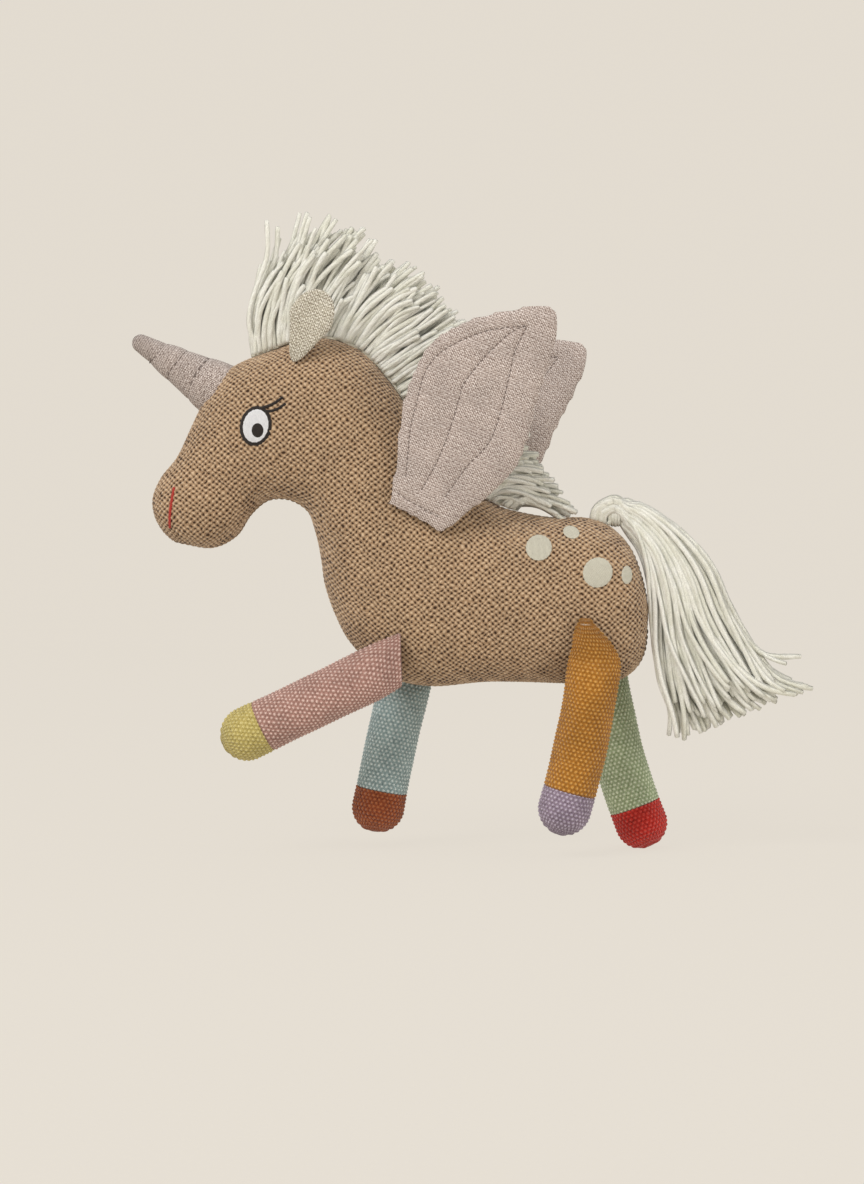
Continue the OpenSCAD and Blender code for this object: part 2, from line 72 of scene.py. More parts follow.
def curve_through(rows, s):
    """The same smooth curve through rows of numbers as in the CAD source, at the places s."""
    rows = np.asarray(rows, float)
    s = np.asarray(s, float)
    last = len(rows) - 1
    i = np.clip(np.floor(s).astype(int), 0, last - 1)
    t = (s - i)[:, None]
    p0, p1, p2, p3 = (rows[np.clip(i + k, 0, last)] for k in (-1, 0, 1, 2))
    return 0.5 * (2 * p1 + (p2 - p0) * t + (2 * p0 - 5 * p1 + 4 * p2 - p3) * t ** 2
                  + (3 * p1 - p0 - 3 * p2 + p3) * t ** 3)


def resample(points, count):
    """Points at even distances along a line of points."""
    points = np.asarray(points, float)
    along = np.concatenate([[0], np.cumsum(np.linalg.norm(np.diff(points, axis=0), axis=1))])
    want = np.linspace(0, along[-1], count)
    return np.stack([np.interp(want, along, points[:, k]) for k in range(points.shape[1])], 1)


def smooth_line(points, count, fine=60):
    """Points at even distances along the smooth curve through a few points."""
    return resample(curve_through(points, np.linspace(0, len(points) - 1, fine)), count)


def unit(vectors):
    return vectors / np.maximum(np.linalg.norm(vectors, axis=-1, keepdims=True), 1e-9)


def line_length(points):
    return np.linalg.norm(np.diff(points, axis=0), axis=1).sum()


# ---- Materials ----

class Value:
    """A number in a material's nodes, for sums written as usual."""

    def __init__(self, nodes, socket):
        self.nodes, self.socket = nodes, socket

    def math(self, operation, other=0.0):
        node = self.nodes.node("ShaderNodeMath", {0: self, 1: other}, operation=operation)
        return Value(self.nodes, node.outputs[0])

    def __add__(self, other):
        return self.math("ADD", other)

    def __sub__(self, other):
        return self.math("SUBTRACT", other)

    def __mul__(self, other):
        return self.math("MULTIPLY", other)

    def sin(self):
        return self.math("SINE")

    def cos(self):
        return self.math("COSINE")

    def size(self):
        return self.math("ABSOLUTE")

    def spread(self, low, high, to_low=0.0, to_high=1.0):
        """The value between low and high, spread smoothly over another range."""
        node = self.nodes.node("ShaderNodeMapRange", {0: self, 1: low, 2: high, 3: to_low, 4: to_high},
                               interpolation_type="SMOOTHSTEP")
        return Value(self.nodes, node.outputs[0])


class Nodes:
    """A short way to write a material's nodes."""

    def __init__(self, name):
        self.material = bpy.data.materials.new(name)
        self.material.use_nodes = True
        self.tree = self.material.node_tree
        self.shader = self.tree.nodes["Principled BSDF"]

    def put(self, socket, value):
        value = value.socket if isinstance(value, Value) else value
        if isinstance(value, bpy.types.NodeSocket):
            self.tree.links.new(value, socket)
        else:
            socket.default_value = value

    def node(self, kind, inputs=(), **settings):
        node = self.tree.nodes.new(kind)
        for key, value in settings.items():
            setattr(node, key, value)
        for key, value in dict(inputs).items():
            self.put(node.inputs[key], value)
        return node

    def mix(self, share, a, b, blend="MIX"):
        node = self.tree.nodes.new("ShaderNodeMix")
        node.data_type, node.blend_type = "RGBA", blend
        for socket, value in ((node.inputs[0], share), (node.inputs[6], a), (node.inputs[7], b)):
            self.put(socket, value)
        return node.outputs[2]

    def shaded(self, colour, shade):
        tone = self.node("ShaderNodeCombineColor", {0: shade, 1: shade, 2: shade}).outputs[0]
        return self.mix(1.0, colour, tone, "MULTIPLY")

    def parts(self, vector):
        return [Value(self, out) for out in self.node("ShaderNodeSeparateXYZ", {0: vector}).outputs]

    def attribute(self, name):
        return self.node("ShaderNodeAttribute", attribute_name=name).outputs["Vector"]

    def place(self):
        return self.node("ShaderNodeTexCoord").outputs["Object"]

    def noise(self, vector, scale, detail=2.0, roughness=0.5, stretch=None):
        if stretch is not None:
            vector = self.node("ShaderNodeMapping", {"Vector": vector, "Scale": stretch}).outputs[0]
        return Value(self, self.node("ShaderNodeTexNoise", {"Vector": vector, "Scale": scale, "Detail": detail,
                                                            "Roughness": roughness}).outputs[0])

    def finish(self, colour, height, distance=0.0006, roughness=0.9, sheen=0.25, specular=0.15):
        bump = self.node("ShaderNodeBump", {"Height": height, "Strength": 1.0, "Distance": distance})
        for name, value in (("Base Color", colour), ("Normal", bump.outputs[0]), ("Roughness", roughness),
                            ("Specular IOR Level", specular), ("Sheen Weight", sheen),
                            ("Sheen Roughness", 0.5)):
            self.put(self.shader.inputs[name], value)
        return self.material


def knit_material(name, dark, base, light, pitch, dots=True, patchy=0.1):
    """Coarse knit from a heathered yarn: small light stitches on a darker ground, or a net with dark holes. The
    dark colour in the hollows between stitches is painted shade, and the light colour on the raised stitches is
    a painted highlight.
    """
    nodes = Nodes(name)
    vector = nodes.attribute("knit")
    u, v = nodes.parts(vector)[:2]
    # The stitches don't stand in perfect rows.
    reach = 0.35 if dots else 0.8
    shift = nodes.node("ShaderNodeTexNoise", {"Vector": vector, "Scale": 0.16, "Detail": 2.0}).outputs["Color"]
    u, v = (a + b.spread(0.25, 0.75, -reach, reach) for a, b in zip((u, v), nodes.parts(shift)))
    # f is -1 on the stitches, which stand halfway between those of the next row.
    f = (u * (TAU / pitch[0])).cos() * (v * (TAU / pitch[1])).cos()
    if dots:
        f = f * (1 / 1.5) - (v * (2 * TAU / pitch[1])).cos() * (0.5 / 1.5)
    place = nodes.place()
    fibres = nodes.noise(place, 2600.0, 3.0, 0.65)
    soft = nodes.noise(place, 1100.0, 2.0, 0.6)
    single = nodes.noise(vector, 0.33, 1.0, 0.5)
    patches = nodes.noise(place, 55.0, 2.0, 0.5)
    wobble = f + (soft - 0.5) * 0.9 + (single - 0.5) * 0.7
    # Painted shade: the dark colour goes where f is high, in the hollows between the stitches. Painted
    # highlight: the light colour goes where f is low, on the raised stitches.
    if dots:
        colour = nodes.mix(wobble.spread(0.1, 0.8), srgb(base), srgb(dark))
        colour = nodes.mix(wobble.spread(-0.1, -0.65), colour, srgb(light))
    else:
        colour = nodes.mix(wobble.spread(0.1, -0.9), srgb(base), srgb(light))
        colour = nodes.mix(wobble.spread(0.25, 0.8), colour, srgb(dark))
    shade = fibres.spread(0.28, 0.72, 0.78, 1.22) * patches.spread(0.3, 0.7, 1 - patchy, 1 + patchy)
    # Each stitch is two strands of yarn that lean on each other.
    ply = ((u * 0.7 + v) * (TAU / 0.9)).sin()
    return nodes.finish(nodes.shaded(colour, shade), f * -0.5 + ply * 0.07 + fibres * 0.4, 0.0007)


def fine_knit_material(name, dark, base, light, pitch=(1.9, 1.6), heather=1.0):
    """Fine heathered jersey with single darker and lighter stitches, and with painted shade in the grooves and
    a painted highlight on the ridges of the knit.
    """
    nodes = Nodes(name)
    vector = nodes.attribute("knit")
    u, v = nodes.parts(vector)[:2]
    wave = (u.math("DIVIDE", pitch[0]).math("FRACT") - 0.5).size()
    slant = v + wave * (1.1 * pitch[0])
    f = (u * (TAU / pitch[0] * 2)).cos() * 0.45 + (slant * (TAU / pitch[1])).cos() * 0.55
    place = nodes.place()
    fibres = nodes.noise(place, 3000.0, 3.0, 0.7)
    flecks = nodes.noise(vector, 1.25, 2.0, 0.7, (1.0, 0.5, 1.0))
    patches = nodes.noise(place, 60.0, 2.0, 0.5)
    # The noise flecks are the yarn's heather. The -0.8 f share makes the ridges, where f is high, lighter as a
    # painted highlight, and the grooves darker as painted shade.
    fleck = (flecks - 0.5) * (3.4 * heather) + f * -0.8
    colour = nodes.mix(fleck.spread(0.0, 1.0), srgb(base), srgb(dark))
    colour = nodes.mix(fleck.spread(-0.05, -0.8), colour, srgb(light))
    shade = fibres.spread(0.3, 0.7, 0.82, 1.16) * patches.spread(0.3, 0.7, 0.93, 1.06)
    return nodes.finish(nodes.shaded(colour, shade), f * 0.5 + fibres * 0.5, 0.0004)


def yarn_material(name, dark, base, light, turns=0.55, sheen=0.35):
    """Spun yarn: x of the strand attribute runs along the yarn in mm, y goes round it, z is its own number."""
    nodes = Nodes(name)
    along, around, own = nodes.parts(nodes.attribute("strand"))
    place = nodes.place()
    twist = along * turns + around
    ply = (twist * 1.5).sin().size()
    hairs = (twist * 13.0 + nodes.noise(place, 500.0) * 14.0).sin()
    fibres = nodes.noise(place, 1500.0, 3.0, 0.7)
    soft = nodes.noise(place, 120.0, 2.0, 0.5)
    colour = nodes.mix((soft + own * 0.3).spread(0.4, 0.85), srgb(base), srgb(light))
    # Painted shade: the grooves between the plies, where ply is near 0, are mixed towards the dark colour.
    colour = nodes.mix(ply.spread(0.25, 0.0) * 0.3, colour, srgb(dark))
    shade = (fibres + hairs * 0.1).spread(0.3, 0.75, 0.84, 1.1)
    height = ply * 0.35 + fibres * 0.6 + hairs * 0.12
    return nodes.finish(nodes.shaded(colour, shade), height, 0.0005, sheen=sheen)


def satin_material(name, dark, base, light, pitch=0.55):
    """Embroidery: fine parallel threads, darker in the gaps between them as painted shade and lighter on their
    crowns as a painted highlight. x of the knit attribute runs across them.
    """
    nodes = Nodes(name)
    vector = nodes.attribute("knit")
    across = nodes.parts(vector)[0] + nodes.noise(vector, 0.35, 2.0, 0.5) * 0.8
    threads = (across * (math.pi / pitch)).sin().size()
    steps = nodes.noise(vector, 1.4, 2.0, 0.6, (1.6, 0.35, 1.0))
    mixed = threads * 0.6 + steps * 0.6
    # Painted shade where mixed is low, in the gaps between threads; painted highlight where it is high, on the
    # thread crowns.
    colour = nodes.mix(mixed.spread(0.45, 0.1), srgb(base), srgb(dark))
    colour = nodes.mix(mixed.spread(0.65, 1.0), colour, srgb(light))
    return nodes.finish(colour, threads + steps * 0.8, 0.0003, roughness=0.6, sheen=0.1, specular=0.3)


def plain_fibre_material(name, dark, light, scale):
    """Loose filling and woven tape, which are inside or under the yarn."""
    nodes = Nodes(name)
    fibres = nodes.noise(nodes.place(), scale, 4.0, 0.7)
    return nodes.finish(nodes.mix(fibres.spread(0.3, 0.7), srgb(dark), srgb(light)), fibres)


BODY_PITCH = (4.0, 3.5)
LEG_PITCH = (2.75, 4.7)
# In each knit colour triple, the first, dark colour is painted shade for the hollows between stitches, and the
# last, light one is a painted highlight on the raised stitches.
knit = {
    "tan": knit_material("knit_tan", "3F2A18", "9F8163", "CBB090", BODY_PITCH, dots=False, patchy=0.06),
    "pink": knit_material("knit_pink", "7A584E", "A98277", "D6B9AE", LEG_PITCH),
    "yellow": knit_material("knit_yellow", "8F8040", "BBAA66", "CFC180", LEG_PITCH),
    "blue": knit_material("knit_blue", "6A7D80", "95A8A8", "C8D4D3", LEG_PITCH),
    "rust": knit_material("knit_rust", "551F0E", "8C4523", "A66137", LEG_PITCH),
    "mustard": knit_material("knit_mustard", "80500F", "A66E25", "C8954A", LEG_PITCH),
    "lilac": knit_material("knit_lilac", "665665", "8F7F90", "B5A9B9", LEG_PITCH),
    "sage": knit_material("knit_sage", "74835C", "9FAC8A", "CBD4B7", LEG_PITCH),
    "red": knit_material("knit_red", "83160F", "B4271E", "CB4034", LEG_PITCH),
}
# For the fine knits, the dark and light colours serve both as the heather flecks and as painted shade in the
# grooves and a painted highlight on the ridges.
mauve = fine_knit_material("knit_mauve", "6E5A53", "B9A9A0", "E6DCD6", heather=1.15)
mauve_horn = fine_knit_material("knit_mauve_horn", "594741", "AE9E95", "E6DBD4", pitch=(1.5, 1.3), heather=1.3)
mauve_ear = fine_knit_material("knit_mauve_ear", "675A4F", "A89D8E", "D2CABD", heather=1.2)
cream_ear = fine_knit_material("knit_cream", "7F7564", "B9B19F", "ECE7DB", pitch=(2.2, 1.9), heather=1.3)
# In each satin colour triple, the dark colour is painted shade between the threads and the light one is a
# painted highlight on them.
quilting = satin_material("quilting_thread", "5B4C48", "7A6A64", "94857E")
# The dark colour of a yarn material is painted shade in the grooves between its plies.
seam_thread = yarn_material("seam_thread", "5A4028", "8A6B47", "A98A62", sheen=0.1)
eye_white = satin_material("embroidery_white", "BDBDC2", "E4E4E8", "FBFBFC")
eye_black = satin_material("embroidery_black", "0C0907", "1D1613", "352B27")
mouth_red = satin_material("embroidery_red", "6E120C", "A82A20", "C8483C")
spot_cream = satin_material("embroidery_cream", "B5B09C", "C8C4B2", "D6D2C3", pitch=0.7)
# Its first, dark colour is painted shade in the grooves between the plies.
yarn = yarn_material("yarn_cream", "CFCDBB", "E6E5D7", "F3F2E9", turns=0.3)
fill = plain_fibre_material("fibre_fill", "CFCBC2", "F2F0EA", 500.0)
tape = plain_fibre_material("tape_cream", "B8B39F", "DAD6C6", 1500.0)


# ---- Meshes ----

def make_piece(name, points, faces, material, body, attribute=None, values=None):
    mesh = bpy.data.meshes.new(name)
    mesh.from_pydata((np.asarray(points) * MM).tolist(), [], [list(map(int, f)) for f in faces])
    mesh.polygons.foreach_set("use_smooth", np.ones(len(mesh.polygons), bool))
    if attribute:
        store = mesh.attributes.new(attribute, "FLOAT_VECTOR", "POINT")
        store.data.foreach_set("vector", np.asarray(values, np.float32).ravel())
    mesh.materials.append(material)
    mesh.update()
    piece = bpy.data.objects.new(name, mesh)
    bpy.context.scene.collection.objects.link(piece)
    if body:
        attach(piece, body)
    return piece


def facing_out(points, faces):
    """The faces, turned over if the closed mesh they make is inside out."""
    flat = np.array([[f[0], f[i], f[i + 1]] for f in faces for i in range(1, len(f) - 1)])
    a, b, c = (points[flat[:, k]] for k in range(3))
    volume = (a * np.cross(b, c)).sum()
    return faces if volume > 0 else [f[::-1] for f in faces]


def add_piece(name, mesh, material, body, attribute="knit"):
    """A piece from a closed mesh's points, faces and values."""
    points, faces, values = mesh
    return make_piece(name, points, facing_out(points, faces), material, body, attribute, values)


def moved(points, matrix):
    return points @ matrix[:3, :3].T + matrix[:3, 3]


def grid_faces(rows, columns, around=False, start=0, flip=False):
    """Quads of a grid of points; around closes each row into a ring."""
    r = np.arange(rows - 1)[:, None]
    c = np.arange(columns if around else columns - 1)[None, :]
    n = (c + 1) % columns
    quads = np.stack([r * columns + c, r * columns + n, (r + 1) * columns + n, (r + 1) * columns + c], -1)
    quads = quads.reshape(-1, 4) + start
    return quads[:, ::-1] if flip else quads


def grid_normals(points, around=False):
    """Unit normals of a grid of points."""
    down = np.gradient(points, axis=0)
    if around:
        across = (np.roll(points, -1, 1) - np.roll(points, 1, 1)) / 2
    else:
        across = np.gradient(points, axis=1)
    return unit(np.cross(down, across))


def capped(grid, values, ends, end_values):
    """A grid of rings closed by a fan of triangles to a point at each end: its points, faces and values."""
    rows, columns = grid.shape[:2]
    base = rows * columns
    k = np.arange(columns)
    n = (k + 1) % columns
    last = base - columns
    fans = [np.stack([0 * k + base, n, k], 1), np.stack([0 * k + base + 1, last + k, last + n], 1)]
    faces = grid_faces(rows, columns, around=True).tolist() + np.concatenate(fans).tolist()
    return (np.concatenate([grid.reshape(-1, 3), ends]), faces,
            np.concatenate([values.reshape(-1, 3), end_values]))


def close_tube(points, values):
    """A grid of rings, closed at both ends with a flat fan."""
    return capped(points, values, [points[0].mean(0), points[-1].mean(0)], [values[0, 0], values[-1, 0]])


def tube(line, radius, sides, flat=1.0, twist=0.0, lobes=0.0, number=0.0, start=0.0):
    """A closed round strand along a line of points: its points, faces and strand attribute."""
    line = np.asarray(line, float)
    count = len(line)
    ahead = unit(np.gradient(line, axis=0))
    side = unit(np.cross(ahead, [0.13, 0.97, 0.2]))
    up = np.cross(side, ahead)
    along = np.concatenate([[0], np.cumsum(np.linalg.norm(np.diff(line, axis=0), axis=1))])
    angle = np.arange(sides) * TAU / sides
    turn = along[:, None] * twist + start
    swell = 1 + lobes * np.cos(2 * (angle[None, :] - turn))
    radius = np.broadcast_to(np.asarray(radius, float), (count,))[:, None] * swell
    wide = radius * np.cos(angle) * flat
    tall = radius * np.sin(angle) / flat
    points = line[:, None, :] + wide[..., None] * side[:, None, :] + tall[..., None] * up[:, None, :]
    values = np.stack([np.broadcast_to(along[:, None], wide.shape),
                       np.broadcast_to(angle[None, :], wide.shape), np.full(wide.shape, number)], -1)
    tips = [line[0] - ahead[0] * radius[0, 0] * 0.35, line[-1] + ahead[-1] * radius[-1, 0] * 0.35]
    return capped(points, values, tips, [[0, 0, number], [along[-1], 0, number]])


def join(parts):
    points, faces, values, start = [], [], [], 0
    for p, f, v in parts:
        points.append(p)
        faces.extend([[i + start for i in face] for face in f])
        values.append(v)
        start += len(p)
    return np.concatenate(points), faces, np.concatenate(values)


# ---- Camera, floor and light ----

scene = bpy.context.scene
scene.view_settings.view_transform = "Standard"

AIM = Vector((-0.0201, 0.0, 0.156))
CAMERA_AWAY, CAMERA_AZIMUTH, CAMERA_RISE, LENS = 1.8, 3.0, 1.0, 91.2
camera_data = bpy.data.cameras.new("camera")
camera_data.sensor_fit = "VERTICAL"
camera_data.sensor_height, camera_data.lens = 36.0, LENS
camera_data.clip_end = 50
camera = bpy.data.objects.new("camera", camera_data)
azimuth, rise = math.radians(CAMERA_AZIMUTH), math.radians(CAMERA_RISE)
camera.location = AIM + CAMERA_AWAY * Vector((math.sin(azimuth) * math.cos(rise),
                                              -math.cos(azimuth) * math.cos(rise), math.sin(rise)))
camera.rotation_euler = (AIM - camera.location).to_track_quat("-Z", "Y").to_euler()
scene.collection.objects.link(camera)
scene.camera = camera


# The backdrop's colour, and how much of it is its own light.
BACKDROP, TENT = "E4DDD2", 0.915


def make_floor():
    """A plain pale sheet that curves up on all sides, far outside every camera, softly lit from within."""
    nodes = Nodes("floor")
    speckle = nodes.noise(nodes.place(), 400.0, 2.0, 0.5)
    target = srgb(BACKDROP)
    low, high = (tuple(c * share for c in target[:3]) + (1.0,) for share in (0.08, 0.085))
    nodes.finish(nodes.mix(speckle.spread(0.3, 0.7), low, high), speckle, 0.0001, roughness=0.95,
                 sheen=0.0, specular=0.0)
    nodes.shader.inputs["Emission Color"].default_value = target
    nodes.shader.inputs["Emission Strength"].default_value = TENT
    radius, wide, top = 1500.0, 3400.0, 2600.0
    corners = [(wide, wide), (-wide, wide), (-wide, -wide), (wide, -wide)]
    bend = np.radians(np.arange(0, 91, 5))
    profile = [(radius * math.sin(a), radius * (1 - math.cos(a))) for a in bend] + [(radius, top)]
    points = []
    for out, height in profile:
        for k, (x, y) in enumerate(corners):
            for a in np.radians(np.linspace(0, 90, 13) + 90 * k):
                points.append((x + out * math.cos(a), y + out * math.sin(a), height))
    columns = len(points) // len(profile)
    faces = [list(q) for q in grid_faces(len(profile), columns, around=True)] + [list(range(columns))]
    mesh = bpy.data.meshes.new("floor")
    mesh.from_pydata((np.array(points) * MM).tolist(), [], faces)
    mesh.materials.append(nodes.material)
    floor = bpy.data.objects.new("floor", mesh)
    scene.collection.objects.link(floor)


def make_light(name, place, size, power, aim=(0, 0, 0.15)):
    data = bpy.data.lights.new(name, "AREA")
    data.shape, data.size, data.energy = "DISK", size, power
    light = bpy.data.objects.new(name, data)
    light.location = place
    light.rotation_euler = (Vector(aim) - Vector(place)).to_track_quat("-Z", "Y").to_euler()
    scene.collection.objects.link(light)


make_floor()
make_light("key", (-1.1, -1.7, 1.8), 1.2, 30.0)
make_light("fill", (1.7, -1.5, 0.5), 1.6, 9.0)
world = bpy.data.worlds.new("world")
world.use_nodes = True
world.node_tree.nodes["Background"].inputs[0].default_value = (1.0, 0.985, 0.96, 1.0)
world.node_tree.nodes["Background"].inputs[1].default_value = 0.85
scene.world = world

# ---- Body ----

# The same pattern as in the CAD source: the back point x and z, the belly point x and z, and the half width.
PATTERN = np.array([
    [-183, 94, -176, 87, 6], [-187, 102, -168, 85, 16], [-188, 113, -152, 83, 24], [-183, 125, -138, 90, 26],
    [-173, 138, -129, 103, 25], [-164, 157, -119, 111, 28], [-155, 174, -108, 112, 31],
    [-140, 191, -100, 109, 33], [-114, 202, -94, 104, 34], [-88, 209, -91, 97, 34], [-63, 201, -88, 86, 33],
    [-44, 181, -86, 74, 33], [-27, 156, -84, 60, 34], [-12, 134, -78, 43, 35], [3, 118, -68, 25, 37],
    [21, 108, -48, 7, 38], [39, 103, -21, 0, 39], [54, 101, 15, 3, 39], [72, 101, 57, 2, 38],
    [86, 96, 84, 2, 36], [98, 84, 99, 8, 30], [105, 67, 107, 20, 20], [109, 49, 109, 39, 7],
], float)
LAST = len(PATTERN) - 1
FULLNESS = 2.3
SKIN = 1.8
low, high = (np.array(corner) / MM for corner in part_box("body_panel_left"))
stations = curve_through(PATTERN, np.arange(0, LAST + 0.1, 0.5))
LIFT = low[2] - stations[:, 3].min()


def body_rows(s):
    rows = curve_through(PATTERN, s)
    rows[:, [1, 3]] += LIFT
    return rows


def power(v, p):
    return np.sign(v) * np.abs(v) ** p


def body_points(rows, angle, inset=0.0):
    """Points of body sections for angles from the back at 0 to the belly at pi, on the right side."""
    back, belly = rows[:, [0, 1]], rows[:, [2, 3]]
    length = np.linalg.norm(back - belly, axis=1)
    up = (back - belly) / length[:, None]
    half = np.maximum(length / 2 - inset, 0.4)
    out = np.maximum(rows[:, 4] - inset, 0.4)
    c = power(np.cos(angle), 2 / FULLNESS) * half[:, None]
    flat = ((back + belly) / 2)[:, None, :] + up[:, None, :] * c[..., None]
    y = power(np.sin(angle), 2 / FULLNESS) * out[:, None]
    return np.stack([flat[..., 0], y, flat[..., 1]], -1)


def even_places(count):
    """Places s along the body that are about evenly far apart on its outside."""
    s = np.linspace(0, LAST, 1500)
    lines = body_points(body_rows(s), np.tile([0, math.pi / 2, math.pi], (len(s), 1)))
    step = np.linalg.norm(np.diff(lines, axis=0), axis=2).max(1)
    along = np.concatenate([[0], np.cumsum(step)])
    return np.interp(np.linspace(0, along[-1], count), along, s)


def even_angles(rows, count):
    """Angles evenly far apart round the half section of each row, and that distance from its middle."""
    fine = np.linspace(0, math.pi, 241)
    points = body_points(rows, np.tile(fine, (len(rows), 1)))
    step = np.linalg.norm(np.diff(points, axis=1), axis=2)
    along = np.concatenate([np.zeros((len(rows), 1)), np.cumsum(step, 1)], 1)
    share = np.linspace(0, 1, count)
    angle = np.stack([np.interp(share * a[-1], a, fine) for a in along])
    middle = np.array([np.interp(math.pi / 2, fine, a) for a in along])
    return angle, middle[:, None] - share[None, :] * along[:, -1:]


def lumps(x, z, size):
    """Slow, small unevenness of stuffing under the fabric."""
    return (np.sin(x / size + 1.3) * np.cos(z / (size * 0.8) + 0.4)
            + 0.6 * np.sin(x / (size * 0.57) - z / (size * 0.7) + 2.1)) / 1.6


BODY_ROUND, BODY_LONG = ((154, 560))
SEAM_GAP = 0.12
# The muzzle's sewn dart runs between these places (x, z).
DART = np.array([[-159.3, 230.4], [-136.5, 215.4]])


def body_panel(side):
    s = even_places(BODY_LONG)
    rows = body_rows(s)
    angle, reach = even_angles(rows, BODY_ROUND)
    points = body_points(rows, angle)
    back, belly = rows[:, [0, 1]], rows[:, [2, 3]]
    up = (back - belly) / np.linalg.norm(back - belly, axis=1)[:, None]
    middle = body_points(rows, np.full((len(s), 1), math.pi / 2))[:, 0]
    step = np.diff(middle, axis=0)
    flat_step = unit(step[:, [0, 2]]) * np.linalg.norm(step, axis=1, keepdims=True)
    flat = middle[0, [0, 2]] + np.concatenate([np.zeros((1, 2)), np.cumsum(flat_step, 0)])
    cloth = flat[:, None, :] + up[:, None, :] * reach[..., None]
    u = cloth[..., 0] + 0.9 * np.sin(cloth[..., 1] / 31 + 0.5 * side)
    v = cloth[..., 1] + 0.8 * np.sin(cloth[..., 0] / 43 + 1.1 + 0.4 * side)
    normal = grid_normals(points)
    normal *= np.sign((normal * (points - points.mean(axis=1, keepdims=True))).sum(-1, keepdims=True).mean())
    f = np.cos(TAU * u / BODY_PITCH[0]) * np.cos(TAU * v / BODY_PITCH[1])
    relief = 0.32 * np.clip(-f, 0, 1) ** 0.7 - 0.6 * np.clip(f, 0, 1) ** 1.2
    calm = smoothstep(0.3, 3.0, points[..., 1])
    raised = relief * calm + 0.35 * lumps(points[..., 0], points[..., 2], 17) * calm
    # The seam pulls both panels in, and so does the dart that shapes the muzzle.
    raised -= 1.1 * np.exp(-(points[..., 1] / 2.2) ** 2)
    run = DART[1] - DART[0]
    here = points[..., [0, 2]] - DART[0]
    share = np.clip((here @ run) / (run @ run), 0, 1)
    away = np.linalg.norm(here - share[..., None] * run, axis=-1)
    raised -= 1.8 * np.exp(-(away / 1.1) ** 2) * np.sin(math.pi * np.clip(share, 0.05, 0.95)) ** 0.4
    points = points + normal * raised[..., None]
    points[..., 1] = np.maximum(points[..., 1], 0) + SEAM_GAP
    inner_angle = np.tile(np.linspace(0, math.pi, 9), (len(s), 1))
    inner = body_points(rows, inner_angle, SKIN + 1.2)
    inner[..., 1] += SEAM_GAP
    n, m, k = len(s), BODY_ROUND, 9
    poles = []
    for end, before in ((0, 6), (-1, -7)):
        outward = unit(middle[end] - middle[before]) * [1, 0, 1]
        centre = (points[end, 0] + points[end, -1]) / 2
        poles.append([centre[0], SEAM_GAP, centre[2]] + outward * 1.0)
    allpoints = np.concatenate([points.reshape(-1, 3), inner.reshape(-1, 3), poles])
    offset = n * m
    faces = [list(q) for q in grid_faces(n, m)] + [list(q) for q in grid_faces(n, k, start=offset, flip=True)]
    for i in range(n - 1):
        faces.append([i * m, (i + 1) * m, offset + (i + 1) * k, offset + i * k])
        faces.append([(i + 1) * m + m - 1, i * m + m - 1, offset + i * k + k - 1, offset + (i + 1) * k + k - 1])
    for end, pole in ((0, len(allpoints) - 2), (n - 1, len(allpoints) - 1)):
        outer_loop = [end * m + j for j in range(m)] + [offset + end * k + j for j in range(k - 1, -1, -1)]
        count = len(outer_loop)
        for j in range(count):
            pair = [outer_loop[j], outer_loop[(j + 1) % count]]
            faces.append([pole] + (pair[::-1] if end == 0 else pair))
    if side == LEFT:
        allpoints = allpoints * [1, -1, 1]
    else:
        faces = [face[::-1] for face in faces]
    inner_cloth = np.zeros((n * k + 2, 2))
    inner_cloth[:n * k] = np.repeat(np.stack([u[:, m // 2], v[:, m // 2]], 1), k, 0)
    inner_cloth[-2:] = [[u[0, 0], v[0, 0]], [u[-1, 0], v[-1, 0]]]
    values = np.concatenate([np.stack([u, v], -1).reshape(-1, 2), inner_cloth])
    values = np.concatenate([values, np.zeros((len(values), 1))], 1)
    piece = make_piece(f"body_knit_{NAME[side]}", allpoints, faces, knit["tan"], "torso",
                       "knit", values)
    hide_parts(f"body_panel_{NAME[side]}")
    return piece


for side in (LEFT, RIGHT):
    body_panel(side)


def body_surface(side):
    """The smooth body surface, to lay patches on."""
    rows = body_rows(np.linspace(0, LAST, 221))
    points = body_points(rows, np.tile(np.linspace(0, math.pi, 61), (221, 1))) * [1, side, 1]
    return BVHTree.FromPolygons(points.reshape(-1, 3).tolist(), grid_faces(221, 61).tolist())


SURFACE = {side: body_surface(side) for side in (LEFT, RIGHT)}


def on_body(side, x, z, lift=0.0):
    """The point of the body's side at x and z, raised off it."""
    hit, normal, index, away = SURFACE[side].ray_cast(Vector((x, side * 200, z)), Vector((0, -side, 0)))
    if hit is None:
        return None
    normal = normal if normal.y * side > 0 else -normal
    return np.array(hit) + np.array(normal) * lift


def body_seam():
    """The raw edges sewn together: small slanted stitches across the groove, over the back and the belly."""
    parts = []
    for column in (0, 2):
        s = np.linspace(0.3, LAST - 0.3, 900)
        rows = body_rows(s)
        line = rows[:, [column, column + 1]]
        other = rows[:, [2 - column, 3 - column]]
        line = line + (other - line) / np.linalg.norm(other - line, axis=1)[:, None] * 0.9
        line = resample(line, int(line_length(line) / 3.4))
        for i in range(len(line) - 1):
            (x0, z0), (x1, z1) = line[i], line[i + 1]
            t = np.linspace(0, 1, 5)
            y = -1.5 + 3.0 * t
            hump = 0.35 * np.sin(math.pi * t)
            nx, nz = -(z1 - z0), (x1 - x0)
            size = math.hypot(nx, nz) or 1
            sign = 1 if column == 0 else -1
            parts.append(tube(np.stack([x0 + (x1 - x0) * t * 0.6 + sign * nx / size * hump, y,
                                        z0 + (z1 - z0) * t * 0.6 + sign * nz / size * hump], 1),
                              0.55, 6, number=0.3))
    points, faces, values = join(parts)
    piece = make_piece("body_seam_stitches", points, faces, seam_thread, "torso",
                       "strand", values)
    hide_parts("body_seam")


body_seam()

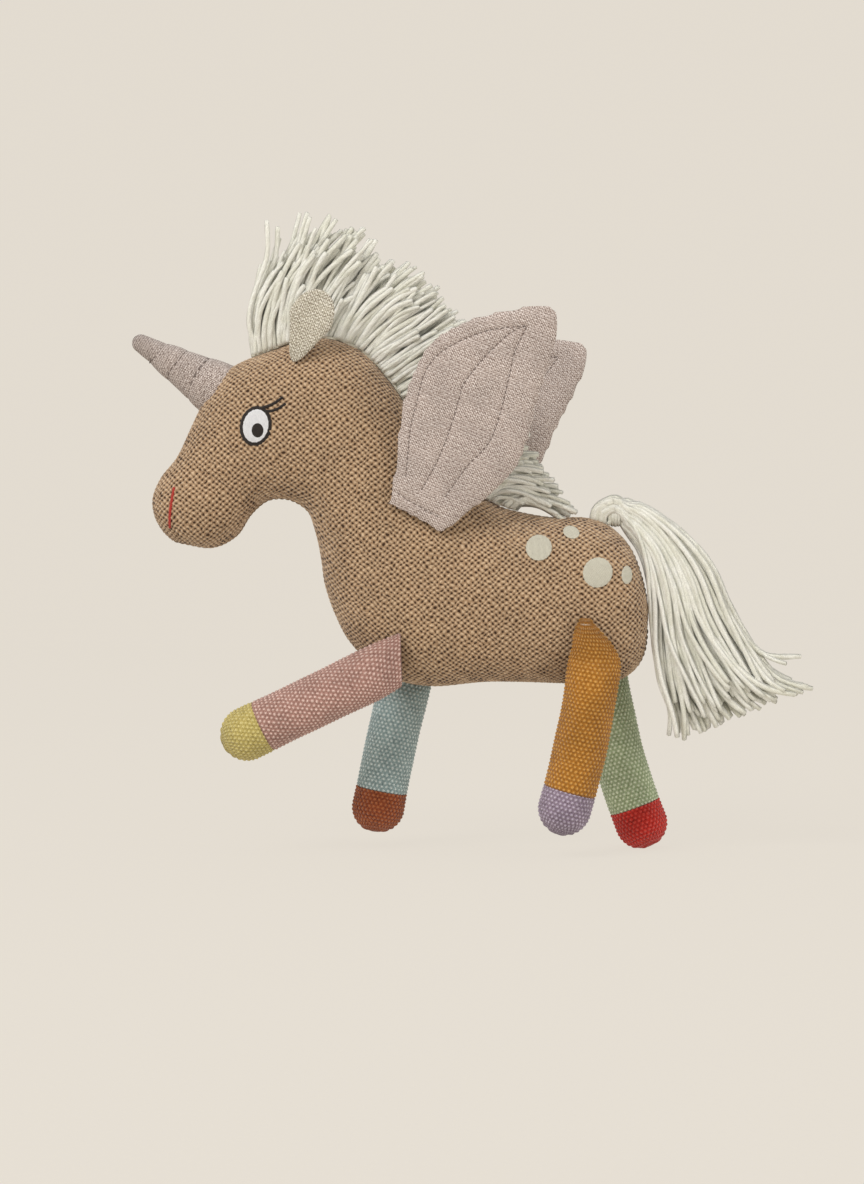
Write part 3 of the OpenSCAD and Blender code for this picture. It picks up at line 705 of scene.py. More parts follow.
# ---- Legs ----

LEG_D, HOOF_L, TAB, MOVE_GAP = 31.0, 26.0, 5.0, 0.8
BODY_W = 78.0
LEG_R = LEG_D / 2
# Hip x, hip height above the belly, first angle, further bend, length, reach of the top, its width, tuck, the
# slope of the top edge, the colours of sleeve and hoof, and how far the top leans towards the front.
LEGS = {
    "front_left": (LEFT, -39, 16, 64, 0.5, 115, 3, 29, 6, 0.45, "pink", "yellow", 0),
    "front_right": (RIGHT, -33, 21, 14.5, -4.5, 114, 3, 27, 5.5, 0.0, "blue", "rust", 0),
    "hind_left": (LEFT, 78, 22, 6, 12, 110, 20, 6, 3.2, 0.0, "mustard", "lilac", -7.5),
    "hind_right": (RIGHT, 80, 20, -6, -18, 123, 12, 14, 4.5, 0.0, "sage", "red", 0),
}


def leg_axis(leg, t):
    """x and z of the leg's arc at the distance t from the hip, and the angle there."""
    side, x, z, first, bend, length = leg[:6]
    angle = np.radians(first + bend * t / length)
    radius = length / math.radians(bend)
    start = math.radians(first)
    return (x + radius * (np.cos(angle) - math.cos(start)),
            z + LIFT + radius * (math.sin(start) - np.sin(angle)), angle)


def leg_sizes(leg, t):
    """Place across the body, half width and half thickness of the sleeve at t."""
    reach, top, tuck, length = leg[6], leg[7], leg[8], leg[5]
    tab = BODY_W / 2 - tuck + MOVE_GAP + TAB / 2
    foot = tab - 8
    high = tab + reach * 0.16
    rows = np.array([
        [-reach, high, max(top / 2, 1), TAB / 2],
        [(4 - reach) / 2, (high + tab) / 2, max(top / 2 * 0.4 + LEG_R * 0.6, 1), TAB / 2 + 0.4],
        [4, tab, LEG_R - 0.5, TAB / 2 + 2],
        [12, tab, LEG_R, TAB / 2 * 0.55 + LEG_R * 0.45],
        [24, tab * 0.65 + foot * 0.35, LEG_R, TAB / 2 * 0.2 + LEG_R * 0.8],
        [40, tab * 0.25 + foot * 0.75, LEG_R, LEG_R],
        [58, foot, LEG_R, LEG_R],
        [length - HOOF_L, foot, LEG_R, LEG_R],
        [length, foot, LEG_R, LEG_R],
    ])
    fine = np.linspace(-reach, length, 400)
    out = []
    for k in (1, 2, 3):
        values = np.interp(fine, rows[:, 0], rows[:, k])
        kernel = np.hanning(19)
        kernel /= kernel.sum()
        padded = np.pad(values, 9, mode="reflect", reflect_type="odd")
        out.append(np.interp(t, fine, np.convolve(padded, kernel, "valid")))
    return out


def leg_tube(leg, t, shrink, relief_scale, phase=0.0):
    """Grid of points round the leg at the distances t, with its knit relief, and its knit coordinates."""
    around = 168
    turn = np.arange(around) * TAU / around
    x, z, angle = leg_axis(leg, t)
    y, wide, thick = leg_sizes(leg, t)
    w = (wide * shrink)[:, None] * np.cos(turn)
    d = (thick * shrink)[:, None] * np.sin(turn)
    slope = leg[9] * (1 - smoothstep(-leg[6], 34, t))[:, None]
    drift = (leg[12] * (1 - smoothstep(-leg[6], 8, t)) ** 1.5)[:, None]
    points = np.stack([
        x[:, None] + drift + w * np.cos(angle)[:, None] - slope * w * np.sin(angle)[:, None],
        leg[0] * (y[:, None] + d),
        z[:, None] - w * np.sin(angle)[:, None] - slope * w * np.cos(angle)[:, None],
    ], -1)
    normal = grid_normals(points, around=True)
    outward = points - points.mean(axis=1, keepdims=True)
    normal *= np.sign((normal * outward).sum(-1).mean())
    stitches = round(TAU * LEG_R / LEG_PITCH[0])
    u = turn[None, :] / TAU * stitches * LEG_PITCH[0] + 0 * t[:, None]
    v = t[:, None] + 0.25 * np.sin(3 * turn)[None, :] + 0.15 * np.sin(t / 5)[:, None] + phase
    row = TAU * v / LEG_PITCH[1]
    f = (np.cos(TAU * u / LEG_PITCH[0]) * np.cos(row) - 0.5 * np.cos(2 * row)) / 1.5
    relief = 0.55 * np.clip(-f, 0, 1) ** 0.8 - 0.3 * np.clip(f, 0, 1)
    relief = relief * relief_scale[:, None] + 0.3 * lumps(v + 7 * leg[5], u, 11) * relief_scale[:, None]
    return points + normal * relief[..., None], np.stack([u, v, 0 * v], -1), normal


def make_leg(name, leg):
    side, length, reach = leg[0], leg[5], leg[6]
    body = f"{name}_leg"
    step = 0.6
    t = np.linspace(-reach, length - HOOF_L, int((length - HOOF_L + reach) / step))
    # The sewn top edge is folded in and lies flat; the sleeve ends a little inside the hoof's first round.
    shrink = np.where(t < -reach + 1.2, 0.97, 1.0)
    shrink = shrink - 0.03 * smoothstep(length - HOOF_L - 1.5, length - HOOF_L, t)
    calm = smoothstep(-reach, -reach + 3.5, t)
    points, values, normal = leg_tube(leg, t, shrink, 0.35 + 0.65 * calm)
    # A line of hand stitches just below the edge draws the fabric in.
    points = points - normal * (0.5 * np.exp(-((t + reach - 3.2) / 0.9) ** 2))[:, None, None]
    sleeve = add_piece(f"{name}_leg_sleeve", close_tube(points, values), knit[leg[10]], None)
    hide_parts(f"{name}_sleeve")
    x, z, angle = leg_axis(leg, np.array([-reach, 22.0]))
    fold = dict(start=(x[0] * MM, 0, z[0] * MM), end=(x[1] * MM, 0, z[1] * MM))
    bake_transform(sleeve)

    bulge = np.linspace(0, math.pi / 2 * 0.985, 60)
    # The filling follows the same curve as its sleeve.
    core = np.linspace(3.5 - reach, length - LEG_R, 90)
    t = np.concatenate([core, length - LEG_R + (LEG_R - 2.5) * np.sin(bulge[1:])])
    shrink = 0.84 * np.concatenate([np.ones(len(core)), np.cos(bulge[1:])])
    points, values, normal = leg_tube(leg, t, shrink, 0 * t)
    core = add_piece(f"{name}_filling", close_tube(points, values), fill, None)
    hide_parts(f"{name}_stuffing")
    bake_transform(core)

    straight = np.linspace(length - HOOF_L, length - LEG_R, 18)[:-1]
    t = np.concatenate([straight, length - LEG_R + LEG_R * np.sin(bulge)])
    shrink = np.concatenate([np.ones(len(straight)), np.cos(bulge)])
    shrink[0] = 0.985
    points, values, normal = leg_tube(leg, t, shrink, smoothstep(0.0, 0.35, shrink), 0.7)
    arc = np.concatenate([straight, length - LEG_R + LEG_R * bulge])
    values[..., 1] += (arc - t)[:, None]
    hoof = add_piece(f"{name}_hoof_cap", close_tube(points, values), knit[leg[11]], body)
    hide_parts(f"{name}_hoof")


for name, leg in LEGS.items():
    make_leg(name, leg)

# ---- Wings ----

WING_PATTERN = [
    [0, 0], [5, 27], [9, 59], [23, 91], [46, 107], [78, 115], [97, 115], [102, 105],
    [98, 87], [90, 60], [84, 38], [72, 15], [46, -7], [32, -18],
]
WING_CENTRE = np.array([50.0, 52.0])
WING_HALF = 6.0
# Quilted lines: from the hem up to the wing's top rear corner.
VEINS = [
    [(11, 16), (14, 44), (18, 60), (22, 75), (29, 86), (39, 93), (50, 98), (63, 102), (83, 104)],
    [(20, 8), (30, 26), (37, 43), (43, 62), (46, 71), (58, 86), (73, 100), (83, 104)],
    [(34, 4), (47, 22), (60, 36), (67, 54), (73, 78), (76, 90), (83, 104)],
]
HEM = [(2, 9), (16, 0), (31, -8)]


def wing_outline():
    rows = curve_through(WING_PATTERN, np.arange(0, len(WING_PATTERN) - 0.99, 0.125))
    return resample(np.vstack([rows, rows[:1]]), 161)[:-1]


def distance_to(lines, xy):
    """The least distance from each point to any of the lines."""
    best = np.full(len(xy), 1e9)
    for line in lines:
        line = np.asarray(line, float)
        for a, b in zip(line[:-1], line[1:]):
            share = np.clip(((xy - a) @ (b - a)) / ((b - a) @ (b - a)), 0, 1)
            best = np.minimum(best, np.linalg.norm(xy - a - share[:, None] * (b - a), axis=1))
    return best


def rotation(angle, axis):
    return Matrix.Rotation(math.radians(angle), 4, Vector(axis))


def wing_place(side):
    """The matrix that stands a wing upright on its root, as in the CAD source."""
    root = np.array([32.0, -18.0])
    middle = root / 2
    direction = root / np.linalg.norm(root)
    turn = 9 if side == RIGHT else 0
    matrix = (Matrix.Translation((-28.0, -(BODY_W / 2 - 1), 100 + LIFT)) @ rotation(turn, (0, 1, 0))
              @ rotation(8, (direction[0], 0, direction[1])) @ rotation(90, (1, 0, 0))
              @ Matrix.Translation((-middle[0], -middle[1], 0)))
    if side == RIGHT:
        matrix = Matrix.Diagonal((1, -1, 1, 1)) @ matrix
    return np.array(matrix)


def spaced_line(line, spacing):
    fine = curve_through(line, np.linspace(0, len(line) - 1, 60))
    return resample(fine, max(int(line_length(fine) / spacing), 2))


def puffed(name, points, faces, voxel, pressure, cap, pin, levels):
    """The closed pad blown up by cloth simulation, as points and faces in millimetres."""
    mesh = bpy.data.meshes.new(name)
    mesh.from_pydata((points * MM).tolist(), [], faces)
    pad = bpy.data.objects.new(name, mesh)
    scene.collection.objects.link(pad)
    bpy.context.view_layer.objects.active = pad
    remesh = pad.modifiers.new("remesh", "REMESH")
    remesh.mode, remesh.voxel_size, remesh.adaptivity = "VOXEL", voxel * MM, 0
    bpy.context.view_layer.update()
    plain = bpy.data.meshes.new_from_object(pad.evaluated_get(bpy.context.evaluated_depsgraph_get()))
    pad.modifiers.clear()
    pad.data = plain
    co = np.empty(len(plain.vertices) * 3)
    plain.vertices.foreach_get("co", co)
    before = co.reshape(-1, 3).copy()
    after = before
    group = pad.vertex_groups.new(name="pin")
    held = np.flatnonzero(pin(before / MM))
    group.add(held.tolist(), 1.0, "REPLACE")
    cloth = pad.modifiers.new("cloth", "CLOTH")
    settings = cloth.settings
    settings.quality = 6
    settings.mass = 0.15
    settings.tension_stiffness = settings.compression_stiffness = 18
    settings.shear_stiffness, settings.bending_stiffness = 8, 0.3
    settings.use_pressure = True
    settings.uniform_pressure_force = pressure
    settings.effector_weights.gravity = 0
    settings.vertex_group_mass = "pin"
    settings.pin_stiffness = 1.0
    cloth.collision_settings.use_self_collision = False
    cloth.point_cache.frame_start, cloth.point_cache.frame_end = 1, 20
    for number in range(1, 21):
        scene.frame_set(number)
    result = bpy.data.meshes.new_from_object(pad.evaluated_get(bpy.context.evaluated_depsgraph_get()))
    result.vertices.foreach_get("co", co)
    moved = co.reshape(-1, 3) - before
    size = np.linalg.norm(moved, axis=1, keepdims=True)
    after = before + moved * np.minimum(1, cap * MM / np.maximum(size, 1e-9))
    pad.modifiers.clear()
    scene.frame_set(1)
    plain.vertices.foreach_set("co", after.astype(np.float32).ravel())
    smooth = pad.modifiers.new("smooth", "SUBSURF")
    smooth.levels = smooth.render_levels = levels
    bpy.context.view_layer.update()
    final = bpy.data.meshes.new_from_object(pad.evaluated_get(bpy.context.evaluated_depsgraph_get()))
    co = np.empty(len(final.vertices) * 3)
    final.vertices.foreach_get("co", co)
    result = co.reshape(-1, 3) / MM, [list(p.vertices) for p in final.polygons]
    bpy.data.objects.remove(pad)
    return result


def pad_shape(outline, centre, half, rings=14):
    """A flat closed pad inside an outline: thin at the rim and level in the middle."""
    count = len(outline)
    share = np.linspace(0, 1, rings + 1)[1:] ** 0.8
    points = [[centre[0], centre[1], half], [centre[0], centre[1], -half]]
    for sign in (1, -1):
        for s in share[:-1]:
            height = half * (1 - s ** 5) ** 0.5
            points += [[*(centre + (p - centre) * s), sign * height] for p in outline]
    rim = len(points)
    points += [[p[0], p[1], 0] for p in outline]
    faces = []
    for layer in range(2):
        start = 2 + layer * (rings - 1) * count
        for k in range(count):
            n = (k + 1) % count
            face = [layer, start + k, start + n]
            faces.append(face if layer == 0 else face[::-1])
            for r in range(rings - 1):
                a = start + r * count
                b = a + count if r < rings - 2 else rim
                face = [a + k, b + k, b + n, a + n]
                faces.append(face if layer == 0 else face[::-1])
    return np.array(points, float), faces


def make_wing(side):
    outline = wing_outline()
    start, faces = pad_shape(outline, WING_CENTRE, 3.4)
    seams = [spaced_line(line, 2.0) for line in VEINS + [HEM]]
    points, faces = puffed(f"wing_{NAME[side]}_pad", start, faces, 3.2, 4.0, 3.6,
                           lambda p: distance_to(seams, p[:, :2]) < 1.7, 2)
    away = distance_to(seams, points[:, :2])
    sign = np.sign(points[:, 2])
    depth = 0.75 * np.exp(-(away / 1.1) ** 2) + 0.25 * np.exp(-(away / 3.0) ** 2)
    points[:, 2] -= sign * np.minimum(depth, np.abs(points[:, 2]) * 0.6)
    points[:, 2] = np.clip(points[:, 2], -WING_HALF - 0.6, WING_HALF + 0.6)
    surface = BVHTree.FromPolygons(points.tolist(), faces)
    matrix = wing_place(side)
    tilt = math.radians(24)
    u = points[:, 0] * math.cos(tilt) - points[:, 1] * math.sin(tilt)
    v = points[:, 0] * math.sin(tilt) + points[:, 1] * math.cos(tilt) + 200 * (points[:, 2] > 0)
    if side == RIGHT:
        faces = [f[::-1] for f in faces]
    wing = make_piece(f"wing_{NAME[side]}_pad", moved(points, matrix), faces, mauve, f"{NAME[side]}_wing",
                      "knit", np.stack([u, v, 0 * u], 1))
    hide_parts(f"wing_{NAME[side]}_outer", f"wing_{NAME[side]}_inner", f"wing_{NAME[side]}_batting")

    parts = []
    for line in VEINS + [HEM]:
        dots = spaced_line(line, 3.1)
        for a, b in zip(dots[:-1], dots[1:]):
            for sign in (1, -1):
                stitch = []
                for share in np.linspace(0.1, 0.72, 6):
                    x, y = a + (b - a) * share
                    hit = surface.ray_cast(Vector((x, y, 40 * sign)), Vector((0, 0, -sign)))[0]
                    if hit is not None:
                        hump = math.sin(math.pi * (share - 0.1) / 0.62)
                        stitch.append([x, y, hit.z + sign * (0.28 * hump - 0.22)])
                if len(stitch) == 6:
                    parts.append(tube(moved(np.array(stitch), matrix), 0.3, 5, number=0.5))
    add_piece(f"wing_{NAME[side]}_quilting", join(parts), quilting, f"{NAME[side]}_wing")


for side in (LEFT, RIGHT):
    make_wing(side)

# ---- Horn ----

HORN_L, HORN_BASE, HORN_TIP = 58.0, 33.0, 11.0
HORN_RINGS = (0.2, 0.45, 0.7)


def horn_radius(z):
    return (HORN_BASE + (HORN_TIP - HORN_BASE) * z / (HORN_L - HORN_TIP / 2)) / 2


def ring_slant(number, turn):
    """How far a stitched ring wanders up and down the horn as it goes round."""
    return 1.3 * np.cos(turn + 0.8 + 1.4 * number) + 0.4 * np.sin(3 * turn + 2 * number)


def make_horn():
    around = 120
    turn = np.arange(around) * TAU / around
    z = np.linspace(-5, HORN_L - HORN_TIP / 2, 90)
    cap = np.linspace(0, math.pi / 2 * 0.98, 22)[1:]
    tip = horn_radius(z[-1])
    height = np.concatenate([z, z[-1] + tip * np.sin(cap)])
    radius = np.concatenate([horn_radius(z), tip * np.cos(cap)])
    radius = radius + 0.25 * np.sin(height / 4.1) * smoothstep(55, 40, height)
    rings = np.array(HORN_RINGS) * HORN_L
    radius = radius[:, None] + 0 * turn[None, :]
    for number, ring in enumerate(rings):
        away = height[:, None] - ring - ring_slant(number, turn)[None, :]
        radius = radius - 0.35 * np.exp(-(away / 0.9) ** 2) - 0.25 * np.exp(-(away / 3.2) ** 2)
    radius = np.maximum(radius, 0.15)
    wobble = 1 + 0.02 * np.sin(2 * turn + 0.7)[None, :] * np.cos(height / 17)[:, None]
    x = radius * np.cos(turn) * wobble
    y = radius * np.sin(turn) * wobble
    points = np.stack([x, y, np.broadcast_to(height[:, None], x.shape)], -1)
    u = turn[None, :] / TAU * 44 * 1.7 + 0 * x
    v = points[..., 2]
    matrix = np.array(Matrix.Translation((-150.5, 0, 179 + LIFT)) @ rotation(31 - 90, (0, 1, 0)))
    mesh = close_tube(moved(points, matrix), np.stack([u, v, 0 * u], -1))
    horn = add_piece("horn_knit", mesh, mauve_horn, "torso")
    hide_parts("horn_cover")
    parts = []
    for number, ring in enumerate(rings):
        stitches = 15
        for k in range(stitches):
            a = (k + np.linspace(0.08, 0.7, 8)) * TAU / stitches
            hump = np.sin(math.pi * np.linspace(0, 1, 8))
            r = horn_radius(ring) - 0.8 + 0.3 * hump
            line = np.stack([r * np.cos(a), r * np.sin(a), ring + ring_slant(number, a)], 1)
            parts.append(tube(moved(line, matrix), 0.32, 6, number=0.5))
    thread = add_piece("horn_ring_stitches", join(parts), quilting, "torso")
    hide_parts("horn_stitching")


make_horn()

# ---- Ears ----

EAR_L, EAR_W, EAR_T, EAR_WIDEST = 46.0, 26.5, 5.0, 0.58


def make_ear(side):
    t = np.linspace(0, 1, 60)
    # A pointed root, the widest part past the middle, and a rounded tip.
    below = np.clip(t / EAR_WIDEST, 0, 1) ** 0.62 * (1 - 0.1 * np.sin(math.pi * t / EAR_WIDEST))
    above = np.sqrt(np.clip(1 - (np.maximum(t - EAR_WIDEST, 0) / (1 - EAR_WIDEST)) ** 2.2, 0, 1))
    half = EAR_W / 2 * np.where(t < EAR_WIDEST, below, above)
    outline = np.concatenate([np.stack([-half, t * EAR_L], 1), np.stack([half, t * EAR_L], 1)[::-1]])
    outline = resample(np.vstack([outline, outline[:1]]), 121)[:-1]
    centre = np.array([0, EAR_L * 0.55])
    matrix = (Matrix.Translation((-101, -(24 + EAR_T / 2 + MOVE_GAP), 193 + LIFT)) @ rotation(24, (0, 1, 0))
              @ rotation(10, (1, 0, 0)) @ rotation(90, (1, 0, 0)))
    if side == RIGHT:
        matrix = Matrix.Diagonal((1, -1, 1, 1)) @ matrix
    matrix = np.array(matrix)
    rings = 26
    share = np.linspace(0, 1, rings + 1)[1:]
    layers = ((1, "front", cream_ear, "knit_cream"), (-1, "back", mauve_ear, "knit_mauve"))
    for layer, label, material, slot in layers:
        grid = []
        for s in share:
            ring = centre + (outline - centre) * s
            height = EAR_T / 2 * (1 - s ** 4) ** 0.5
            if layer > 0:
                # The front is hollow along its middle, inside a plump rim.
                hollow = np.exp(-(ring[:, 0] / 4.5) ** 2) * math.sin(math.pi * (1 - s) ** 0.6)
                height = height * (1 - 0.5 * hollow)
            grid.append(np.stack([ring[:, 0], ring[:, 1], layer * height + 0 * ring[:, 0]], 1))
        middle = [centre[0], centre[1], grid[0][:, 2].mean()]
        grid.append(np.stack([outline[:, 0], outline[:, 1], np.full(len(outline), -layer * 0.05)], 1))
        grid = np.array(grid)
        ends = [middle, [centre[0], centre[1], -layer * 0.05]]
        points, faces, _ = capped(grid, grid, ends, ends)
        # The ear curls round its long axis, and its tip bends back.
        points[:, 2] += 0.012 * points[:, 0] ** 2 - 0.0022 * np.clip(points[:, 1] - 20, 0, None) ** 2
        cloth = points * [1, 1, 0]
        piece = add_piece(f"ear_{NAME[side]}_{label}_pad", (moved(points, matrix), faces, cloth), material,
                          f"{NAME[side]}_ear")
        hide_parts(f"ear_{NAME[side]}_{label}")


for side in (LEFT, RIGHT):
    make_ear(side)

# ---- Stitched face and spots ----


def oval_patch(name, side, centre, size, tilt, lift, material, node, threads=0.0):
    """A raised oval of stitches that follows the body's surface."""
    around, rings = 72, 16
    turn = np.arange(around) * TAU / around
    lean = math.radians(tilt)
    across = math.cos(threads), math.sin(threads)
    grid, values = [], []
    for r in range(rings + 1):
        share = 1 - (1 - r / rings) ** 1.6
        dome = lift * (1 - 0.4 * share ** 8)
        ring, value = [], []
        for a in turn:
            rough = 1 + 0.012 * math.sin(19 * a) + 0.01 * math.sin(31 * a + 1)
            px, pz = size[0] / 2 * share * math.cos(a) * rough, size[1] / 2 * share * math.sin(a) * rough
            x = centre[0] + px * math.cos(lean) - pz * math.sin(lean)
            z = centre[1] + px * math.sin(lean) + pz * math.cos(lean)
            ring.append(on_body(side, x, z, dome))
            value.append([x * across[0] + z * across[1], z * across[0] - x * across[1], 0])
        grid.append(ring)
        values.append(value)
    grid.append([on_body(side, p[0], p[2], -0.6) for p in grid[-1]])
    values.append(values[-1])
    piece = add_piece(name, close_tube(np.array(grid), np.array(values)), material, "torso")
    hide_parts(node)


def stitch_strip(side, line, width, lift):
    """A flat satin strip along a line of (x, z), tapered at its far end, as points, faces and values."""
    line = smooth_line(line, 24, 30)
    ahead = unit(np.gradient(line, axis=0))
    across = np.stack([-ahead[:, 1], ahead[:, 0]], 1)
    widths = np.asarray(width) if np.ndim(width) else np.full(len(line), width)
    widths = np.interp(np.linspace(0, 1, len(line)), np.linspace(0, 1, len(widths)), widths)
    ring_shape = [(-0.5, -0.5), (-0.5, 0.35), (-0.3, 0.8), (0, 1), (0.3, 0.8), (0.5, 0.35), (0.5, -0.5),
                  (0, -0.6)]
    grid, values = [], []
    for i, p in enumerate(line):
        ring = []
        for w, h in ring_shape:
            x, z = p + across[i] * w * widths[i]
            ring.append(on_body(side, x, z, h * lift))
        grid.append(ring)
        values.append([[i * 0.8, w * widths[i], 0] for w, h in ring_shape])
    return close_tube(np.array(grid), np.array(values, float))


EYE = np.array([-122.5, 155 + LIFT])
# Each lash: its line from the eye's middle, and its widths along it.
LASHES = [
    (([2, 10], [6, 11.2], [11, 13.3], [16, 17]), (2.2, 1.9, 1.7, 1.5)),
    (([5.5, 8.5], [9, 8.7], [13, 10], [17.8, 13.2]), (2.0, 1.6, 1.6, 1.6)),
]
for side in (LEFT, RIGHT):
    label = NAME[side]
    oval_patch(f"eye_{label}_white_satin", side, EYE, (15.7, 20.2), -12, 1.05, eye_white,
               node=f"eye_{label}_white", threads=0.3)
    oval_patch(f"eye_{label}_outline_satin", side, EYE, (19.0, 23.6), -12, 0.8, eye_black,
               node=f"eye_{label}_outline")
    oval_patch(f"eye_{label}_pupil_satin", side, EYE + [1.2, -2.6], (7.4, 8.8), 0, 1.4, eye_black,
               node=f"eye_{label}_pupil", threads=1.2)
    lashes = [stitch_strip(side, [EYE + p for p in line], widths, 0.9) for line, widths in LASHES]
    add_piece(f"eye_{label}_lashes", join(lashes), eye_black, "torso")
    mouth = np.array([-172.5, 119 + LIFT])
    line = [mouth, mouth + [-1.3, -8], mouth + [-2.4, -16.5], mouth + [-3, -24]]
    piece = add_piece(f"mouth_{label}_satin", stitch_strip(side, line, [1.5, 1.7, 1.6, 1.4], 0.9), mouth_red,
                      "torso")
    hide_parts(f"mouth_stitch_{label}")
    # Each spot: x, height above the belly, width, height and tilt, as shares of the largest one's diameter.
    for number, (x, z, w, h, tilt) in enumerate([(44.5, 83, 0.9, 0.88, 0), (63.5, 92, 0.58, 0.42, -20),
                                                 (79, 68.5, 1, 1.04, -35), (96, 67, 0.36, 0.62, 0)]):
        oval_patch(f"spot_{label}_{number + 1}", side, np.array([x, z + LIFT]), (17 * w, 17 * h), tilt, 0.85,
                   spot_cream, node=f"spots_{label}", threads=0.5 * number)

# ---- Mane ----

MANE_L, MANE_W, TAPE_W = 76.0, 22.0, 12.0
MANE = np.array([
    [15, 12, 0.74], [16, 14, 0.92], [17, 15, 1], [18.5, 30, 0.82], [20, 47, 0.76], [22, 56, 0.74],
    [24, 62, 0.74], [26, 68, 0.68], [28, 76, 0.58], [31, 88, 0.48],
])
LOCKS = [("forelock", 15, 17), ("poll", 17, 20), ("crest", 20, 22), ("nape", 22, 24), ("shoulder", 24, 28),
         ("withers", 28, 31)]
STRAND_SIDES = 8


def back_at(i):
    """The back line's point and outward direction at a station."""
    s = np.array([i - 0.4, i, i + 0.4]) / 2
    rows = body_rows(s)[:, :2]
    along = rows[2] - rows[0]
    normal = np.array([-along[1], along[0]])
    return rows[1], normal / np.linalg.norm(normal)


def mane_strand(i, y0, spread, share):
    """The line of one strand of the mane, from its place on the tape."""
    root, normal = back_at(i)
    lean = np.interp(i, MANE[:, 0], MANE[:, 1]) + spread[0]
    length = MANE_L * np.interp(i, MANE[:, 0], MANE[:, 2]) * share
    run = np.array([math.sin(math.radians(lean)), math.cos(math.radians(lean))]) * length
    t = np.linspace(0, 1, 22)[:, None]
    out = root + normal * 1.0
    bow = (normal * 0.7 + run / length * 0.3) * length * 0.48
    flat = (1 - t) ** 2 * out + 2 * t * (1 - t) * (out + bow) + t ** 2 * (out + run)
    wave = spread[2] * np.sin(t * spread[3] + spread[4]) * t
    flat = flat + wave * np.array([-run[1], run[0]]) / length
    flat[:, 1] -= 4.0 * (t[:, 0] ** 3) * abs(math.sin(math.radians(lean)))
    y = y0 + (spread[1] - y0) * t[:, 0] ** 0.8 + 0.8 * np.sin(t[:, 0] * 7 + spread[4])
    return np.stack([flat[:, 0], y, flat[:, 1]], 1)


def strand_radius(count, radius):
    """Slightly uneven yarn, a little thinner where it is cut."""
    wave = 1 + 0.05 * np.sin(np.linspace(0, 9, count) + rng.uniform(0, 6))
    return radius * wave * np.concatenate([np.ones(count - 2), [0.97, 0.85]])


for name, first, last in LOCKS:
    parts = []
    along = line_length([back_at(i)[0] for i in np.arange(first, last + 0.1, 0.25)])
    count = int(along * 3)
    for k in range(count):
        i = first + (k + rng.uniform(0.1, 0.9)) / count * (last - first)
        y0 = rng.uniform(-TAPE_W / 2, TAPE_W / 2)
        y1 = y0 / (TAPE_W / 2) * MANE_W / 2 * rng.uniform(0.7, 1.05)
        # Neighbouring strands bunch together: their lean and waves change slowly along the tape.
        bunch = 4.5 * math.sin(i * 9.0 + y0 * 0.5) + 3.0 * math.sin(i * 23.0 + y0 * 0.9)
        spread = (bunch + rng.normal(0, 2.6), y1, 1.9 + 1.2 * math.sin(i * 7 + y0), rng.uniform(2.5, 4.0),
                  3 * math.sin(i * 5 + y0 * 0.3) + rng.uniform(0, 0.8))
        low_share, high_share = (0.7, 1.06) if rng.uniform() < 0.85 else (0.4, 0.7)
        line = mane_strand(i, y0, spread, rng.uniform(low_share, high_share))
        parts.append(tube(line, strand_radius(len(line), rng.uniform(1.3, 1.75)), STRAND_SIDES,
                          flat=rng.uniform(0.9, 1.12), twist=0.16, lobes=0.07, number=rng.uniform(0, 1),
                          start=rng.uniform(0, TAU)))
    if name == "forelock":
        # Curly loose strands stand in front of the others.
        for k, (way, high) in enumerate([(-6, 80), (-3, 76), (-8, 60), (0, 84)]):
            root = back_at(15.3 + 0.15 * k)[0]
            y0 = -4.5 + 3 * k
            loose = np.array([[0, 0, 0], [way * 0.7, y0 * 0.2, 10], [way, y0 * 0.5, 22],
                              [way * 0.5, y0 * 0.6, 36], [5 + 2 * k, y0 * 0.7, high * 0.74],
                              [5 + 4 * k, y0, high]]) + [root[0], y0, root[1]]
            loose = smooth_line(loose, 30, 50)
            parts.append(tube(loose, strand_radius(30, 1.5), STRAND_SIDES, twist=0.16, lobes=0.07, number=0.7))
    piece = add_piece(f"mane_{name}_yarn", join(parts), yarn, "torso", "strand")
    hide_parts(f"mane_{name}")

# ---- Tail ----

TAIL = np.array([
    [2, -6, 0, 7, 0.45], [6, -10, 9, 5.5, 0.6], [15, -25, 28, -9, 0.8], [20, -49, 45, -30, 1],
    [22, -74, 57, -57, 1], [26, -96, 73, -83, 1], [31, -118, 88, -99, 0.9], [34, -135, 106, -106, 0.45],
])
TAIL_HALF = 12.0
knot_low, knot_high = (np.array(corner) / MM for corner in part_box("tail_knot"))
KNOT = (knot_low + knot_high) / 2
TAIL_START = KNOT + [7.3, 0, 0]


